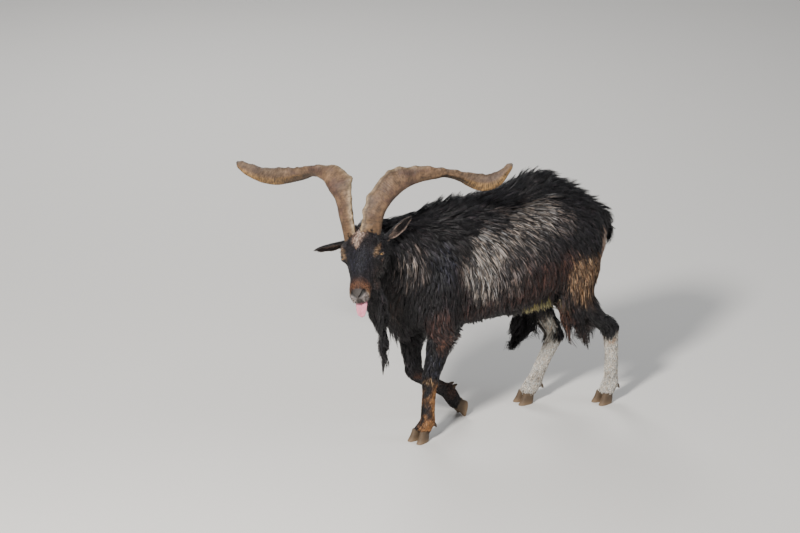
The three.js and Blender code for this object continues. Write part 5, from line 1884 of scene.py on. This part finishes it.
# %% Both ears, with their hair
# length, depth, width, layers and lift of the hair, as on the body
EAR_HAIR = {"inner": (13, 1.2, 1.3, 0.9, 1.0), "back": (10, 1.6, 1.6, 1.9, 0.6),
            "rim": (9, 1.0, 1.2, 1.8, 1.5)}
EAR_PALE = {"left": (1.0, 0.9), "right": (0.25, 0.8)}  # how pale the rim and the inside are

for seed, (side, sign) in enumerate(SIDES.items(), 140):
    places, share, c, inner = ear_leaf(side)
    root, along, opening = ear_frame(side)
    mesh = grid_mesh(f"ear_leaf_{side}", places)
    lower = np.where(c * np.cross(along, opening)[2] < 0, 1.0, 0.35)
    rim = lower * smoothstep(0.80, 0.95, abs(c)) * smoothstep(0.05, 0.25, share)
    low = inner * (1 - smoothstep(0.2, 0.56, share)) if side == "left" else inner * near(
        np.stack([share, c, c * 0], -1), (0.4, -0.2, 0), (0.3, 0.25, 1))
    look = LOOK["jet"] + (inner * 0.5)[..., None] * (LOOK["brown"] - LOOK["jet"])
    for pale, strength in zip((rim, low), EAR_PALE[side]):
        look = look + (pale * strength)[..., None] * (LOOK["cream"] - look)
    hair_of_ear = np.where(inner[..., None], EAR_HAIR["inner"], EAR_HAIR["back"])
    hair_of_ear = hair_of_ear + rim[..., None] * (np.array(EAR_HAIR["rim"]) - hair_of_ear)
    nearest = nearest_of(drawn(array(mesh.vertices, "co", 3)), places.reshape(-1, 3))
    look, hair_of_ear = look.reshape(-1, 7)[nearest], hair_of_ear.reshape(-1, 5)[nearest]
    way = np.cross(along, opening) * (c.reshape(-1, 1)[nearest] * 0.45) + along
    # the leaf's colour, darkened by painted shade of the hair over it
    tint_points(mesh, mean_colour(look) * EAR_HAIR_SHADE_ON_SKIN)
    leaf = new_object(f"ear_leaf_{side}", mesh, skin_finish.material)
    unwrap(leaf)
    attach(leaf, "root")
    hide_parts(f"ear_{side}")
    ear_ground = Ground(mesh, unit(way), hair_of_ear, look)
    coat_piece(f"ear_hair_{side}", ear_ground, np.ones(len(ear_ground.corners), bool), seed, 2,
               in_tuft=4, draw=0.3, stray=9)

# %% [markdown]
# ## Hooves
# Each foot stands on two claws of horn, with two small dew claws behind the joint above. A claw is
# flat on the ground and rounded at the toe, and shows bands of growth that follow its upper rim.
# A tube from the rim down has its shape, and what would go under the floor is pressed flat on it.

# %% The hooves' finish
hoof_finish = Finish("hoof", Specular_IOR_Level=0.35)
hoof_grain = hoof_finish.noise(300, 4, 0.6)
hoof_dirt = hoof_finish.noise(45, 4, 0.6)
hoof_colour = hoof_finish.mix(hoof_dirt * 0.5, hoof_finish.tint(), srgb(128, 104, 78))
hoof_finish.finish(hoof_colour, roughness=0.55 + 0.3 * hoof_dirt, height=hoof_grain + hoof_dirt,
                   strength=0.6, distance=0.0012)
print("nodes of the hooves' finish:", len(hoof_finish.nodes))


# %% Claws
DOWN = (0, 0, -1)
# where (forward, up), half-width, half-depth to the fore and to the aft side
CLAW = [((4, 42), 11, 20, 22), ((9, 21.6), 13, 24, 25), ((17, -0.5), 15, 28, 32)]
CLAW_BANDS, BAND_HEIGHT, WORN_AWAY = 44, 0.35, 1.2  # their rate, and mm
HOOF_DARK, HOOF_WORN = np.array(srgb(62, 52, 43)), np.array(srgb(124, 103, 80))


def claw(name, leg, side):
    """The mesh of one claw, pressed flat on the floor."""
    facing, place = hoof_frame(leg, side)
    y = side * (CLAW_HALF_WIDTH + CLEFT_HALF_WIDTH)
    stations = [(np.array([x, y, z]), w, f, a) for (x, z), w, f, a in CLAW]
    places, shares, angles = tube_rings(stations, 30, 36, (0, -1, 0), square=2.6, along=DOWN)
    middle = places[:, :-1].mean(1, keepdims=True)
    bands = np.cos(shares * CLAW_BANDS + 0.8 * np.sin(angles * 2)) * BAND_HEIGHT * (1 - shares)
    worn = -WORN_AWAY * smoothstep(0.93, 1.0, shares)
    places = places + unit(places - middle) * (bands + worn)[..., None]
    places = places @ facing.T + place
    places[..., 2] = np.maximum(places[..., 2], 0.0)
    mesh = grid_mesh(f"hoof_{name[5:]}", places)
    share = smoothstep(0.5, 1.0, shares) * 0.8 + 0.25 * bands
    tint_grid(mesh, places, HOOF_DARK + share[..., None] * (HOOF_WORN - HOOF_DARK))
    return mesh


for name, leg, side in claws():
    hoof = new_object(f"hoof_{name[5:]}", claw(name, leg, side), hoof_finish.material)
    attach(hoof, "root")
    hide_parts(name)
print("claws:", len(list(claws())), "of", len(hoof.data.vertices), "points")


# %% Dew claws
DEW_CLAW = [((-14, -2), 7, 6), ((-27, -13), 7, 6), ((-34, -25), 3, 2.5)]
DEW_CLAW_OUT = 12.5  # mm
for leg, joints in LEGS.items():
    heading, tip, _ = FEET[leg]
    facing = turn(heading, "Z") @ turn(tip, "Y")
    for number, side in enumerate(SIDES.values()):
        stations = [(np.array([x, side * DEW_CLAW_OUT, z]), w, d, d)
                    for (x, z), w, d in DEW_CLAW]
        places, shares, angles = tube_rings(stations, 14, 16, (0, -1, 0))
        places = places @ facing.T + joints[-2]
        mesh = grid_mesh("dew_claw", places)
        tint_grid(mesh, places, HOOF_DARK * (0.6 + 0.4 * shares[..., None]))
        dew = new_object(f"dew_claw_{leg}_{number}", mesh, hoof_finish.material)
        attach(dew, "root")
print("dew claws:", 2 * len(LEGS))
